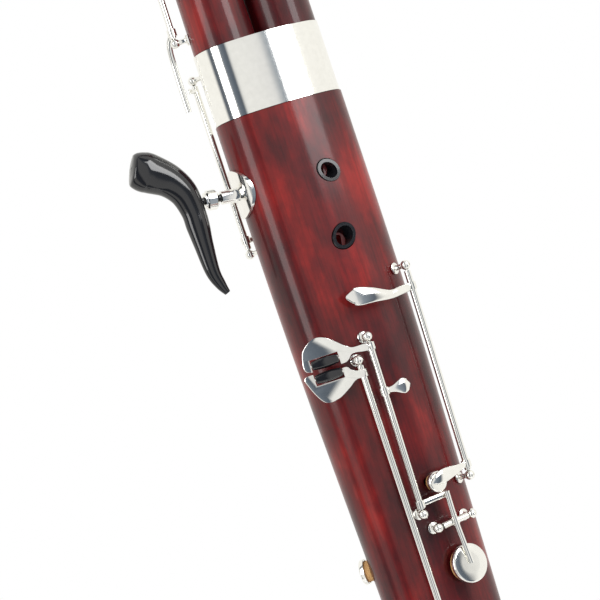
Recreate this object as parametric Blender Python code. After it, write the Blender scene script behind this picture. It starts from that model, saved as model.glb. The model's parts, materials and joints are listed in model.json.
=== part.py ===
"""Quart bassoon: a small bassoon a fourth above the usual one, standing upright on its boot.

The origin is the middle of the flat underside of the boot cap and +Z runs up the instrument.
The finger holes face -Y, the wing joint stands at -X and the long joint at +X.
All sizes are in metres; MM turns a size in millimetres into metres.
"""
import math

import bmesh
import bpy
from mathutils import Matrix, Vector

MM = 0.001

# Clearance between neighbouring pieces
GAP = 0.3 * MM

# Boot joint
BOOT_TOP = 329.0 * MM            # upper face of the ferrule above the floor
BOOT_SIDE = 15.0 * MM            # radius of the rounded sides at the top
BOOT_SIDE_LOW = 11.8 * MM        # the same at the floor
BOOT_SPREAD = 12.9 * MM          # centres of the side arcs from the middle, at the top
BOOT_SPREAD_LOW = 9.8 * MM       # the same at the floor
CROWN_ANGLE = 20.0               # degrees of the shallow arc on each half of front and back
TAPER_DROP = 74.0 * MM           # the boot keeps its size this far below the top
TAPER_BLEND = 90.0 * MM          # and then bends into its straight taper over this length
FERRULE_HEIGHT = 30.0 * MM
FERRULE_WALL = 0.8 * MM
FERRULE_INSET = 0.4 * MM         # ferrule below the surface of the wood
FERRULE_PLATE = 1.2 * MM         # its flat top
CAP_HEIGHT = 40.0 * MM
CAP_WALL = 1.0 * MM
CAP_INSET = 0.2 * MM
CAP_FLOOR = 1.6 * MM
CAP_ROUNDING = 1.5 * MM
CAP_LAP = 7.0 * MM               # how far the cap reaches up round the wood

# Tubes that rise from the boot
TUBE_SPACING = 27.3 * MM         # from the axis of the wing joint to that of the long joint
TUBE_RADIUS = 13.4 * MM          # both tubes where they leave the boot
TENON_DEPTH = 25.0 * MM
TENON_CLEARANCE = 0.3 * MM       # round the cork in the socket
CORK_HEIGHT = 17.0 * MM
CORK_THICKNESS = 0.8 * MM
SOCKET_SPARE = 1.0 * MM          # socket deeper than its tenon
WING_LENGTH = 360.0 * MM
WING_TOP_RADIUS = 9.6 * MM
WING_TENON = 9.6 * MM            # over the cork
WING_BULGE = 9.0 * MM            # how far the thick side of the wing leans out
WING_BULGE_RADIUS = 8.6 * MM
WING_BULGE_ANGLE = -28.0         # degrees from the front towards the crutch
WING_BAND_HEIGHT = 14.0 * MM
WING_HOLE = 2.6 * MM
LONG_LENGTH = 430.0 * MM
LONG_TOP_RADIUS = 13.0 * MM
LONG_TENON = 10.6 * MM
BELL_TENON = 11.3 * MM
BELL_TENON_DEPTH = 20.0 * MM
BELL_CORK_HEIGHT = 13.0 * MM
BELL_LENGTH = 240.0 * MM
BELL_FOOT_RADIUS = 15.2 * MM
BELL_WAIST_RADIUS = 13.9 * MM
BELL_MOUTH_RADIUS = 17.4 * MM
BELL_MOUTH_BORE = 13.6 * MM
BELL_RING_HEIGHT = 14.0 * MM
BELL_RING_LIP = 1.2 * MM
BELL_BAND_HEIGHT = 12.0 * MM
BAND_WALL = 0.9 * MM

# Air column, as radii in the order in which the air meets them
BOCAL_TIP_BORE = 1.3 * MM
BOCAL_END_BORE = 2.5 * MM
WING_BORE_TOP = 2.9 * MM
WING_BORE_FOOT = 4.6 * MM
BOOT_BORE_WING = 5.0 * MM
BOOT_BORE_BEND = 6.4 * MM
BOOT_BORE_LONG = 7.6 * MM
LONG_BORE_FOOT = 7.8 * MM
LONG_BORE_TOP = 9.6 * MM
BELL_BORE_FOOT = 9.9 * MM
BEND_SPACING = 20.0 * MM         # distance between the two bores at the bend
BEND_WALL = 0.8 * MM
BEND_PLATE = 1.4 * MM

# Bocal
BOCAL_RADIUS = 3.5 * MM
BOCAL_TIP_RADIUS = 2.0 * MM
BOCAL_CORK_RADIUS = 4.9 * MM
BOCAL_SEAT_DEPTH = 16.0 * MM
NIB_RISE = 20.0 * MM             # vent nib above the top of the wing joint
NIB_RADIUS = 1.3 * MM
NIB_LENGTH = 3.0 * MM
NIB_ANGLE = -33.0                # degrees from the front towards the crutch

# Finger holes of the boot: sideways place, depth below the boot's top, half axes of the
# bushing's oval and the slant of its long axis in degrees above the horizontal
UPPER_HOLE = (5.95 * MM, 61.3 * MM, 5.1 * MM, 4.4 * MM, -43.0)
LOWER_HOLE = (3.2 * MM, 88.6 * MM, 5.6 * MM, 4.8 * MM, 41.0)
BUSHING_DEPTH = 4.2 * MM
BUSHING_PROUD = 0.25 * MM
BUSHING_WALL = 1.3 * MM
BUSHING_LEAN = 31.0              # degrees of the drilled holes from square to the wood

# Posts, hinge tubes, cups and pads
KEY_RISE = 6.0 * MM              # hinge axes above the wood
LOW_F_RISE = 5.5 * MM            # the same for the see-saw
E_RISE = 6.35 * MM               # and for the thumb's open key
BRIDGE_DROP = 11.4 * MM          # crank of the bridge below the top of the boot
POST_BALL = 2.05 * MM
POST_FOOT = 2.4 * MM
POST_NECK = 1.0 * MM
ROD_RADIUS = 0.6 * MM
TUBE_BORE = 0.95 * MM
KEY_TUBE = 1.35 * MM
COLLAR_RADIUS = 1.95 * MM
COLLAR_LENGTH = 3.0 * MM
ARM_WIDTH = 1.25 * MM            # half the width of an arm
ARM_THICKNESS = 0.75 * MM        # half its thickness
LEAF_THICKNESS = 0.75 * MM       # half the thickness of a finger touch
SEAT_MARGIN = 0.5 * MM           # milled seat wider than its pad
SEAT_LIP = 0.15 * MM             # least depth of a milled seat
CUP_WALL = 0.6 * MM
CUP_HEIGHT = 2.2 * MM
PAD_PROUD = 2.6 * MM             # pad below the rim of its cup
PAD_ROUNDING = 0.6 * MM
PLATE_THICKNESS = 1.3 * MM
ROLLER_RADIUS = 2.25 * MM
ROLLER_END_RADIUS = 1.75 * MM
ROLLER_BORE = 0.85 * MM
ROLLER_PIN = 0.5 * MM
ROLLER_LENGTH = 11.2 * MM

# Degrees from closed at which the open keys stand
G_OPEN = 5.0
LOW_F_OPEN = 5.5
E_OPEN = 5.5
WHISPER_OPEN = 2.75
LONG_KEY_OPEN = 5.0

# Crutch
CRUTCH_DROP = 59.1 * MM          # its socket below the top of the boot
CRUTCH_SLOPE = 6.0               # degrees that its stem points upwards
CRUTCH_PLATE_RADIUS = 10.2 * MM
CRUTCH_PLATE_THICKNESS = 1.1 * MM
CRUTCH_SOCKET_RADIUS = 2.75 * MM
CRUTCH_SOCKET_BORE = 1.8 * MM
CRUTCH_SOCKET_LENGTH = 8.0 * MM  # from the wood outwards
CRUTCH_STEM_RADIUS = 1.45 * MM
NUT_RADIUS = 4.15 * MM
NUT_START = 9.7 * MM             # inner face of the nut from the wood
NUT_THICKNESS = 5.4 * MM
NUT_FLUTES = 12
NUT_FLUTE_DEPTH = 0.3 * MM

# Faces round the turned and swept pieces
BODY_SIDES = 20
BAND_SIDES = 20
CUP_SIDES = 12
TUBE_SIDES = 8
POST_SIDES = 6
ARM_SIDES = 6

# Places that follow from the sizes above
WING_AXIS = -TUBE_SPACING / 2
LONG_AXIS = TUBE_SPACING / 2
WING_FOOT = BOOT_TOP + GAP
WING_TOP = WING_FOOT + WING_LENGTH
LONG_TOP = WING_FOOT + LONG_LENGTH
BELL_FOOT = LONG_TOP + GAP
BELL_TOP = BELL_FOOT + BELL_LENGTH
WOOD_FOOT = CAP_HEIGHT - CAP_LAP
WOOD_TOP = BOOT_TOP - FERRULE_PLATE - GAP
FERRULE_FOOT = BOOT_TOP - FERRULE_HEIGHT

UP = Vector((0, 0, 1))
RIGHT = Vector((1, 0, 0))
FRONT = Vector((0, -1, 0))


def clear_scene():
    """Remove whatever the file holds, so that only the model is left."""
    for thing in list(bpy.data.objects):
        bpy.data.objects.remove(thing, do_unlink=True)


def make_material(name, colour, roughness, metallic):
    material = bpy.data.materials.new(name)
    material.use_nodes = True
    shader = material.node_tree.nodes["Principled BSDF"]
    shader.inputs["Base Color"].default_value = (*colour, 1.0)
    shader.inputs["Roughness"].default_value = roughness
    shader.inputs["Metallic"].default_value = metallic
    return material


# Solids

def circle(radius, height, sides, across=0.0):
    """A ring of points round a vertical axis."""
    turns = [math.tau * step / sides for step in range(sides)]
    return [Vector((across + radius * math.cos(turn), radius * math.sin(turn), height))
            for turn in turns]


def loft(rings, loop=False):
    """Skin a stack of rings. A loop joins the last ring to the first, other stacks get ends."""
    bm = bmesh.new()
    rows = [[bm.verts.new(point) for point in ring] for ring in rings]
    pairs = list(zip(rows, rows[1:]))
    if loop:
        pairs.append((rows[-1], rows[0]))
    for low, high in pairs:
        for step in range(len(low)):
            after = (step + 1) % len(low)
            bm.faces.new((low[step], low[after], high[after], high[step]))
    if not loop:
        bm.faces.new(rows[0])
        bm.faces.new(rows[-1])
    bmesh.ops.recalc_face_normals(bm, faces=bm.faces)
    return bm


def turned(profile, sides, across=0.0, loop=False):
    """A solid of revolution about a vertical axis from (radius, height) points."""
    return loft([circle(radius, height, sides, across) for radius, height in profile], loop)


def aligned(origin, direction, towards=UP):
    """A matrix whose Z axis points along direction, with its Y axis near towards."""
    z_axis = Vector(direction).normalized()
    if abs(z_axis.dot(towards)) > 0.95:
        towards = FRONT
    x_axis = towards.cross(z_axis).normalized()
    y_axis = z_axis.cross(x_axis)
    rotation = Matrix((x_axis, y_axis, z_axis)).transposed().to_4x4()
    return Matrix.Translation(origin) @ rotation


def moved(bm, matrix):
    bmesh.ops.transform(bm, matrix=matrix, verts=bm.verts)
    return bm


def rod(start, end, radius, sides=TUBE_SIDES, end_radius=None):
    """A plain round rod, or a cone, between two points."""
    far_radius = radius if end_radius is None else end_radius
    bm = turned([(radius, 0.0), (far_radius, (end - start).length)], sides)
    return moved(bm, aligned(start, end - start))


def swept(stations, sides, outward, bores=None):
    """Sweep an oval along stations of (point, half width, half thickness).

    The thickness points along outward. Given bores, the piece is a tube.
    """
    rings, inner = [], []
    turns = [math.tau * step / sides for step in range(sides)]
    for index, (point, width, thickness) in enumerate(stations):
        before = stations[max(index - 1, 0)][0]
        after = stations[min(index + 1, len(stations) - 1)][0]
        ahead = (after - before).normalized()
        side = ahead.cross(outward).normalized()
        lift = side.cross(ahead)
        rings.append([point + side * (width * math.cos(turn)) + lift * (thickness * math.sin(turn))
                      for turn in turns])
        if bores:
            inner.append([point + (side * math.cos(turn) + lift * math.sin(turn)) * bores[index]
                          for turn in turns])
    if bores:
        return loft(rings + inner[::-1], loop=True)
    return loft(rings)


def through(points, steps):
    """Points of a smooth curve through the given points."""
    result = []
    for index in range(len(points) - 1):
        p0 = points[max(index - 1, 0)]
        p1, p2 = points[index], points[index + 1]
        p3 = points[min(index + 2, len(points) - 1)]
        for step in range(steps):
            t = step / steps
            result.append(p1 + (p2 - p0) * (t / 2) + (p0 * 2 - p1 * 5 + p2 * 4 - p3) * (t * t / 2)
                          + (p1 * 3 - p0 - p2 * 3 + p3) * (t ** 3 / 2))
    result.append(points[-1])
    return result


def smooth_stations(stations, steps):
    """More stations for a sweep, on a smooth curve through the given ones."""
    points = through([point for point, width, thickness in stations], steps)
    sizes = through([Vector((width, thickness)) for point, width, thickness in stations], steps)
    return [(point, size[0], size[1]) for point, size in zip(points, sizes)]


def smooth_outline(corners, steps):
    """A closed smooth curve through the corners of an outline."""
    corners = [Vector(corner) for corner in corners]
    wrapped = corners[-1:] + corners + corners[:2]
    return through(wrapped, steps)[steps:-1 - steps]


def plate(outline, thickness, frame):
    """A flat plate with a closed outline in the frame's XY plane."""
    return loft([[frame @ Vector((point[0], point[1], height)) for point in outline]
                 for height in (-thickness / 2, thickness / 2)])


def block(low, high, frame=None):
    """A box between two corners."""
    corners = ((low[0], low[1]), (high[0], low[1]), (high[0], high[1]), (low[0], high[1]))
    bm = loft([[Vector((x, y, height)) for x, y in corners] for height in (low[2], high[2])])
    return moved(bm, frame) if frame else bm


def mesh_from(bm):
    mesh = bpy.data.meshes.new("solid")
    bm.to_mesh(mesh)
    bm.free()
    return mesh


def combine(thing, tools, operation):
    """Join solids to an object, cut them out of it or keep what it shares with them."""
    for tool in tools:
        helper = bpy.data.objects.new("helper", mesh_from(tool))
        bpy.context.collection.objects.link(helper)
        modifier = thing.modifiers.new("combine", "BOOLEAN")
        modifier.operation = operation
        modifier.object = helper
        graph = bpy.context.evaluated_depsgraph_get()
        mesh = bpy.data.meshes.new_from_object(thing.evaluated_get(graph))
        thing.modifiers.clear()
        thing.data = mesh
        bpy.data.objects.remove(helper, do_unlink=True)


def make(name, solids, material, cuts=(), within=(), added=(), origin=None, axis=UP):
    """One named sub-part: solids joined, cuts taken out, then what is added after the cuts.

    A moving piece has its origin on its joint's axis.
    """
    thing = bpy.data.objects.new(name, mesh_from(solids[0]))
    bpy.context.collection.objects.link(thing)
    combine(thing, within, "INTERSECT")
    combine(thing, solids[1:], "UNION")
    combine(thing, cuts, "DIFFERENCE")
    combine(thing, added, "UNION")
    if origin is not None:
        frame = aligned(origin, axis)
        thing.data.transform(frame.inverted())
        thing.matrix_world = frame
    thing.data.name = name
    thing.data.materials.clear()
    thing.data.materials.append(material)
    thing.data.shade_smooth()
    thing.data.set_sharp_from_angle(angle=math.radians(35))
    return thing


# Outer surfaces that the keys stand on

class Seat:
    """A place on the wood: its point, its outward normal and the radius of the wood's bend."""

    def __init__(self, point, normal, bend):
        self.point = point
        self.normal = normal
        self.bend = bend

    def above(self, lift):
        return self.point + self.normal * lift


def direction(angle):
    """A level direction, 0 degrees in front, 90 to the right and 180 behind."""
    turn = math.radians(angle)
    return Vector((math.sin(turn), -math.cos(turn), 0))


def taper_run(height):
    """Length of full taper that has built up at a height."""
    below = (BOOT_TOP - TAPER_DROP) - height
    if below <= 0:
        return 0.0
    if below < TAPER_BLEND:
        return below * below / (2 * TAPER_BLEND)
    return below - TAPER_BLEND / 2


def boot_section(height):
    """Spread of the side arcs and their radius at a height."""
    share = taper_run(height) / taper_run(0.0)
    spread = BOOT_SPREAD + (BOOT_SPREAD_LOW - BOOT_SPREAD) * share
    side = BOOT_SIDE + (BOOT_SIDE_LOW - BOOT_SIDE) * share
    return spread, side


def crown_radius(height):
    """Radius of the shallow arcs of the boot's front and back."""
    spread, side = boot_section(height)
    return side + spread / math.sin(math.radians(CROWN_ANGLE))


def boot_seat(height, angle):
    """The place on the boot where its outward normal has this angle."""
    spread, side = boot_section(height)
    normal = direction(angle)
    if abs(normal.x) < math.sin(math.radians(CROWN_ANGLE)):
        bend = crown_radius(height)
        setback = spread / math.tan(math.radians(CROWN_ANGLE))
        centre = Vector((0, -math.copysign(setback, normal.y), height))
    else:
        bend = side
        centre = Vector((math.copysign(spread, normal.x), 0, height))
    return Seat(centre + normal * bend, normal, bend)


def front_seat(drop, across, lift=0.0):
    """The place on the boot's front above which a point at this lift stands this far across."""
    height = BOOT_TOP - drop
    spread, side = boot_section(height)
    crown = crown_radius(height) + lift
    if abs(across) <= crown * math.sin(math.radians(CROWN_ANGLE)):
        return boot_seat(height, math.degrees(math.asin(across / crown)))
    reach = min((abs(across) - spread) / (side + lift), 1.0)
    return boot_seat(height, math.degrees(math.copysign(math.asin(reach), across)))


def front_point(drop, across, lift):
    return front_seat(drop, across, lift).above(lift)


def wing_radius(height):
    share = (height - WING_FOOT) / WING_LENGTH
    return TUBE_RADIUS + (WING_TOP_RADIUS - TUBE_RADIUS) * share


def wing_seat(height, angle):
    bend = wing_radius(height)
    normal = direction(angle)
    return Seat(Vector((WING_AXIS, 0, height)) + normal * bend, normal, bend)


def long_radius(height):
    share = (height - WING_FOOT) / LONG_LENGTH
    return TUBE_RADIUS + (LONG_TOP_RADIUS - TUBE_RADIUS) * share


def long_seat(height, angle):
    bend = long_radius(height)
    normal = direction(angle)
    return Seat(Vector((LONG_AXIS, 0, height)) + normal * bend, normal, bend)


def wing_height(share):
    """A height on the wing joint, 0 at its foot and 1 at its top."""
    return WING_FOOT + WING_LENGTH * share


def long_height(share):
    return WING_FOOT + LONG_LENGTH * share


def boot_ring(height, grow=0.0):
    """The boot's oval outline at a height, with more points where it bends more."""
    crown = [-CROWN_ANGLE + CROWN_ANGLE * step / 2 for step in range(4)]
    side = [CROWN_ANGLE + (180 - 2 * CROWN_ANGLE) * step / 8 for step in range(8)]
    return [boot_seat(height, angle).above(grow)
            for angle in crown + side + [angle + 180 for angle in crown + side]]


def boot_stack(levels, loop=False):
    """A solid from the boot's outline at (height, growth) levels."""
    return loft([boot_ring(height, grow) for height, grow in levels], loop)


def small_bore(height):
    """The axis of the bore below the wing joint."""
    share = (WOOD_TOP - height) / (WOOD_TOP - WOOD_FOOT)
    return Vector((WING_AXIS + (-BEND_SPACING / 2 - WING_AXIS) * share, 0, height))


def large_bore(height):
    """The axis of the bore below the long joint."""
    share = (WOOD_TOP - height) / (WOOD_TOP - WOOD_FOOT)
    return Vector((LONG_AXIS + (BEND_SPACING / 2 - LONG_AXIS) * share, 0, height))


# Key work

class Hinge:
    """A pivot line between the balls of two posts that stand on the wood."""

    def __init__(self, low, high, rise=KEY_RISE, high_sink=0.0):
        self.feet = ((low, rise), (high, rise + high_sink))
        self.low = low.above(rise)
        self.high = high.above(rise)
        self.ahead = (self.high - self.low).normalized()

    def at(self, height):
        """The point of an upright pivot line at a height."""
        return self.low.lerp(self.high, (height - self.low.z) / (self.high.z - self.low.z))

    def turn(self, degrees):
        """A matrix that turns a piece about the pivot line."""
        rotation = Matrix.Rotation(math.radians(degrees), 4, self.ahead)
        return Matrix.Translation(self.low) @ rotation @ Matrix.Translation(-self.low)

    def tube(self, low_cut=0.0, high_cut=0.0):
        """The key's tube as a solid rod, shorter at its ends if asked."""
        clear = POST_BALL + GAP
        return rod(self.low + self.ahead * (clear + low_cut),
                   self.high - self.ahead * (clear + high_cut), KEY_TUBE)

    def bore(self):
        return rod(self.low, self.high, TUBE_BORE)

    def collar(self, point):
        """A wider ring round the tube where an arm leaves it."""
        half = self.ahead * (COLLAR_LENGTH / 2)
        return rod(point - half, point + half, COLLAR_RADIUS)


def posts(name, hinge, material):
    """The two turned posts of a hinge, with the steel rod that joins their balls."""
    solids = []
    for foot, rise in hinge.feet:
        base = GAP - rise
        profile = [(POST_FOOT, base), (POST_FOOT, base + 0.7 * MM), (POST_NECK, base + 1.4 * MM),
                   (POST_NECK, -0.87 * POST_BALL), (POST_BALL, -0.25 * POST_BALL),
                   (0.9 * POST_BALL, 0.45 * POST_BALL), (0.4 * POST_BALL, 0.92 * POST_BALL)]
        ball = hinge.low if foot is hinge.feet[0][0] else hinge.high
        solids.append(moved(turned(profile, POST_SIDES), aligned(ball, foot.normal)))
    solids.append(rod(hinge.low, hinge.high, ROD_RADIUS, 6))
    # The rod comes second, so that every join meets what is already there
    make(name, [solids[0], solids[2], solids[1]], material)


def arm(points, outward, width=ARM_WIDTH, thickness=ARM_THICKNESS, steps=2):
    """An arm of even section along a smooth curve."""
    stations = [(point, width, thickness) for point in points]
    if len(points) > 2:
        stations = smooth_stations(stations, steps)
    return swept(stations, ARM_SIDES, outward)


def leaf(points, widths, outward, steps=2):
    """A finger touch that widens and narrows along its points."""
    stations = [(point, width, LEAF_THICKNESS) for point, width in zip(points, widths)]
    return swept(smooth_stations(stations, steps), ARM_SIDES, outward)


def seat_depth(seat, pad_radius):
    """Depth at which a flat milled seat is whole all the way round."""
    reach = pad_radius + SEAT_MARGIN
    return reach * reach / (2 * seat.bend) + SEAT_LIP


def tone_hole(seat, pad_radius, hole_radius, target):
    """Cutters for a milled pad seat and for the hole from there to the air column."""
    floor = seat.above(-seat_depth(seat, pad_radius))
    mill = rod(floor, seat.above(4 * MM), pad_radius + SEAT_MARGIN, CUP_SIDES)
    back = (floor - target).normalized()
    return [mill, rod(target, floor + back * 2 * MM, hole_radius)]


def cup_frame(seat, pad_radius, hinge, opened):
    """Where a cup's rim lies when its key stands this many degrees from closed."""
    lift = PAD_PROUD + GAP - seat_depth(seat, pad_radius)
    return hinge.turn(opened) @ aligned(seat.above(lift), seat.normal)


def cup(pad_radius, frame):
    """A shallow round cup, open below, with a slightly domed top."""
    inner = pad_radius + GAP
    outer = inner + CUP_WALL
    profile = [(inner, CUP_HEIGHT - CUP_WALL), (inner, 0.0), (outer, 0.0),
               (outer, CUP_HEIGHT - 0.5 * MM), (0.88 * outer, CUP_HEIGHT)]
    return moved(turned(profile, CUP_SIDES), frame)


def cup_top(frame):
    """The point at which an arm is soldered to the top of a cup."""
    return frame @ Vector((0, 0, CUP_HEIGHT + 0.55 * MM))


def pad(name, pad_radius, frame, material):
    """The skin-covered pad that a cup holds."""
    profile = [(pad_radius, CUP_HEIGHT - CUP_WALL - GAP), (pad_radius, PAD_ROUNDING - PAD_PROUD),
               (pad_radius - PAD_ROUNDING, -PAD_PROUD)]
    make(name, [moved(turned(profile, CUP_SIDES), frame)], material)


def tube_key(name, hinge, touch, pad_seat, pad_radius, opened, hole, looks):
    """A key with one leaf touch and one round pad on a tube between two posts.

    The touch is the place on the wood under its middle, and the hole is a radius and the point
    in the air column that it leads to. It returns the cutters for the wood.
    """
    posts(name + "_posts", hinge, looks["posts"])
    frame = cup_frame(pad_seat, pad_radius, hinge, opened)
    pad(name + "_pad", pad_radius, frame, looks["pad"])
    touch_root = hinge.at(touch.point.z)
    touch_middle = touch.above(KEY_RISE + 0.8 * MM)
    reach = touch_middle - touch_root
    touch_outward = (hinge.feet[0][0].normal + touch.normal).normalized()
    touch_tip = touch_middle + reach.normalized() * 4.2 * MM - touch.normal * 0.3 * MM
    touch_leaf = leaf([touch_root, touch_root + reach * 0.45 + touch_outward * 1.2 * MM,
                       touch_middle, touch_tip],
                      [1.2 * MM, 1.7 * MM, 3.6 * MM, 1.4 * MM], touch_outward)
    pad_root = hinge.at(pad_seat.point.z)
    pad_top = cup_top(frame)
    pad_outward = (hinge.feet[0][0].normal + pad_seat.normal).normalized()
    half_turn = hinge.feet[0][0].normal.angle(pad_seat.normal) / 2
    bow = 1.3 * MM + (pad_seat.bend + KEY_RISE) * (1 - math.cos(half_turn))
    pad_arm = arm([pad_root, (pad_root + pad_top) / 2 + pad_outward * bow, pad_top], pad_outward)
    make(name, [hinge.tube(), hinge.collar(touch_root), hinge.collar(pad_root), touch_leaf, pad_arm,
                cup(pad_radius, frame)],
         looks["key"], cuts=[hinge.bore()], origin=hinge.low, axis=hinge.ahead)
    return tone_hole(pad_seat, pad_radius, *hole)


def roller_key_plate(outline, roller_middle, slot_edge, frame):
    """A finger plate with a slot for its roller and the pin that the roller turns on."""
    shape = plate(smooth_outline([(u * MM, v * MM) for u, v in outline], 2), PLATE_THICKNESS, frame)
    half = ROLLER_LENGTH / 2 + GAP
    clear = ROLLER_RADIUS + GAP
    low_v, high_v = sorted((roller_middle[1] + slot_edge * clear, roller_middle[1] - slot_edge * 9 * MM))
    slot = block((roller_middle[0] - half, low_v, -3 * MM), (roller_middle[0] + half, high_v, 3 * MM),
                 frame)
    ends = [frame @ Vector((roller_middle[0] + side * (half + 1.0 * MM), roller_middle[1], 0))
            for side in (-1, 1)]
    return shape, slot, rod(ends[0], ends[1], ROLLER_PIN, 6)


def roller(name, middle, frame, material):
    """A barrel-shaped roller on the pin in a plate's slot."""
    half = ROLLER_LENGTH / 2
    profile = [(ROLLER_BORE, -half), (ROLLER_END_RADIUS, -half), (ROLLER_RADIUS, -half * 0.35),
               (ROLLER_RADIUS, half * 0.35), (ROLLER_END_RADIUS, half), (ROLLER_BORE, half)]
    centre = frame @ Vector((middle[0], middle[1], 0))
    along = frame.to_3x3() @ RIGHT
    bm = moved(turned(profile, TUBE_SIDES, loop=True), aligned(centre, along))
    make(name, [bm], material, origin=centre, axis=along)


# The wooden joints and their metal and cork

def make_boot(looks, cuts):
    """The wooden boot, with the ferrule and the cap that protect its ends."""
    ferrule_room = -(FERRULE_INSET + FERRULE_WALL + GAP)
    cap_room = -(CAP_INSET + CAP_WALL + GAP)
    shoulder = CAP_HEIGHT + GAP
    levels = [(WOOD_FOOT, cap_room), (shoulder, cap_room), (shoulder, 0.0)]
    levels += [(shoulder + (FERRULE_FOOT - GAP - shoulder) * step / 7, 0.0) for step in range(1, 8)]
    levels += [(FERRULE_FOOT - GAP, ferrule_room), (WOOD_TOP, ferrule_room)]
    below = UP * 1.0 * MM
    wing_socket = rod(Vector((WING_AXIS, 0, BOOT_TOP - TENON_DEPTH - SOCKET_SPARE)),
                      Vector((WING_AXIS, 0, BOOT_TOP)), WING_TENON + TENON_CLEARANCE, BODY_SIDES)
    long_socket = rod(Vector((LONG_AXIS, 0, BOOT_TOP - TENON_DEPTH - SOCKET_SPARE)),
                      Vector((LONG_AXIS, 0, BOOT_TOP)), LONG_TENON + TENON_CLEARANCE, BODY_SIDES)
    bores = [rod(small_bore(WOOD_FOOT) - below, small_bore(WOOD_TOP), BOOT_BORE_BEND, CUP_SIDES,
                 BOOT_BORE_WING),
             rod(large_bore(WOOD_FOOT) - below, large_bore(WOOD_TOP), BOOT_BORE_BEND, CUP_SIDES,
                 BOOT_BORE_LONG)]
    make("boot_body", [boot_stack(levels)], looks["wood"],
         cuts=[wing_socket, long_socket] + bores + cuts)

    inner = -(FERRULE_INSET + FERRULE_WALL)
    ceiling = BOOT_TOP - FERRULE_PLATE
    shell = boot_stack([(ceiling, inner), (FERRULE_FOOT, inner), (FERRULE_FOOT, -FERRULE_INSET),
                        (BOOT_TOP, -FERRULE_INSET)])
    holes = [rod(Vector((x, 0, ceiling - MM)), Vector((x, 0, BOOT_TOP + MM)),
                 radius + TENON_CLEARANCE, BODY_SIDES)
             for x, radius in ((WING_AXIS, WING_TENON), (LONG_AXIS, LONG_TENON))]
    make("top_ferrule", [shell], looks["silver"], cuts=holes)

    inner = -(CAP_INSET + CAP_WALL)
    make("boot_cap", [boot_stack([(0.0, -CAP_INSET - CAP_ROUNDING),
                                  (0.3 * CAP_ROUNDING, -CAP_INSET - 0.3 * CAP_ROUNDING),
                                  (CAP_ROUNDING, -CAP_INSET), (CAP_HEIGHT, -CAP_INSET),
                                  (CAP_HEIGHT, inner), (CAP_FLOOR + CAP_ROUNDING, inner),
                                  (CAP_FLOOR, inner - CAP_ROUNDING)])], looks["silver"])


def make_bend(looks):
    """The metal bend under the boot that turns the air column back upwards."""
    top = WOOD_FOOT - GAP
    room = -(CAP_INSET + CAP_WALL + GAP)
    flange = boot_stack([(top - BEND_PLATE, room), (top, room)])
    half = BEND_SPACING / 2
    centre = Vector((0, 0, top - BEND_PLATE))
    turns = [math.pi * step / 8 for step in range(9)]
    path = [centre + Vector((-half * math.cos(turn), 0, -half * math.sin(turn))) for turn in turns]
    seated = [path[0] + UP * (0.8 * BEND_PLATE)] + path + [path[-1] + UP * (0.8 * BEND_PLATE)]
    outer = swept([(point, BOOT_BORE_BEND + BEND_WALL, BOOT_BORE_BEND + BEND_WALL)
                   for point in seated], CUP_SIDES, FRONT)
    lead = UP * 3 * MM
    bore_path = [path[0] + lead] + path + [path[-1] + lead]
    bore = swept([(point, BOOT_BORE_BEND, BOOT_BORE_BEND) for point in bore_path], CUP_SIDES, FRONT)
    make("u_bend", [flange, outer], looks["silver"], cuts=[bore])


def oblique_oval(hole, grow, lift, depth):
    """The slanting oval plug of a finger hole, and the point and direction at its inner end."""
    across, drop, long_half, short_half, slant = hole
    seat = front_seat(drop, across)
    right = UP.cross(seat.normal)
    major = right * math.cos(math.radians(slant)) + UP * math.sin(math.radians(slant))
    minor = seat.normal.cross(major)
    lean = math.tan(math.radians(BUSHING_LEAN))
    turns = [math.tau * step / CUP_SIDES for step in range(CUP_SIDES)]
    rings = []
    for level in (-depth, lift):
        centre = seat.above(level) + major * (level * lean)
        rings.append([centre + major * ((long_half + grow) * math.cos(turn))
                      + minor * ((short_half + grow) * math.sin(turn)) for turn in turns])
    return rings, seat.above(-depth) - major * (depth * lean)


def make_bushing(name, hole, looks):
    outer, inner_end = oblique_oval(hole, 0.0, BUSHING_PROUD, BUSHING_DEPTH)
    inner, inner_end = oblique_oval(hole, -BUSHING_WALL, BUSHING_PROUD, BUSHING_DEPTH)
    make(name, [loft(outer + inner[::-1], loop=True)], looks["black"])


def bushing_cuts(hole):
    """The recess for a bushing and the hole from there to the small bore."""
    rings, inner_end = oblique_oval(hole, GAP, 3 * MM, BUSHING_DEPTH + GAP)
    target = small_bore(inner_end.z + 2 * MM)
    back = (inner_end - target).normalized()
    drill = rod(target, inner_end + back * 1.5 * MM, hole[3] - BUSHING_WALL - 0.2 * MM)
    return [loft(rings), drill]


def tenon(foot, top, radius, cork_height):
    """Profile of a tenon from its foot up to the shoulder, with the groove for its cork."""
    wood = radius - 0.4 * MM
    groove = radius - CORK_THICKNESS - GAP
    low = (foot + top - cork_height) / 2 - GAP
    high = (foot + top + cork_height) / 2 + GAP
    return [(wood - 0.4 * MM, foot), (wood, foot + 0.6 * MM), (wood, low), (groove, low),
            (groove, high), (wood, high), (wood, top)]


def cork_ring(name, axis, foot, top, radius, cork_height, looks):
    low = (foot + top - cork_height) / 2
    high = (foot + top + cork_height) / 2
    inner = radius - CORK_THICKNESS
    profile = [(inner, low), (radius, low), (radius, high), (inner, high)]
    make(name, [turned(profile, BAND_SIDES, axis, loop=True)], looks["cork"])


def wing_bulge(share):
    """How far the thick finger side of the wing has swelled, from 0 to 1."""
    rise = min(max((share - 0.18) / 0.14, 0.0), 1.0)
    fall = min(max((0.88 - share) / 0.14, 0.0), 1.0)
    part = min(rise, fall)
    return part * part * (3 - 2 * part)


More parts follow.
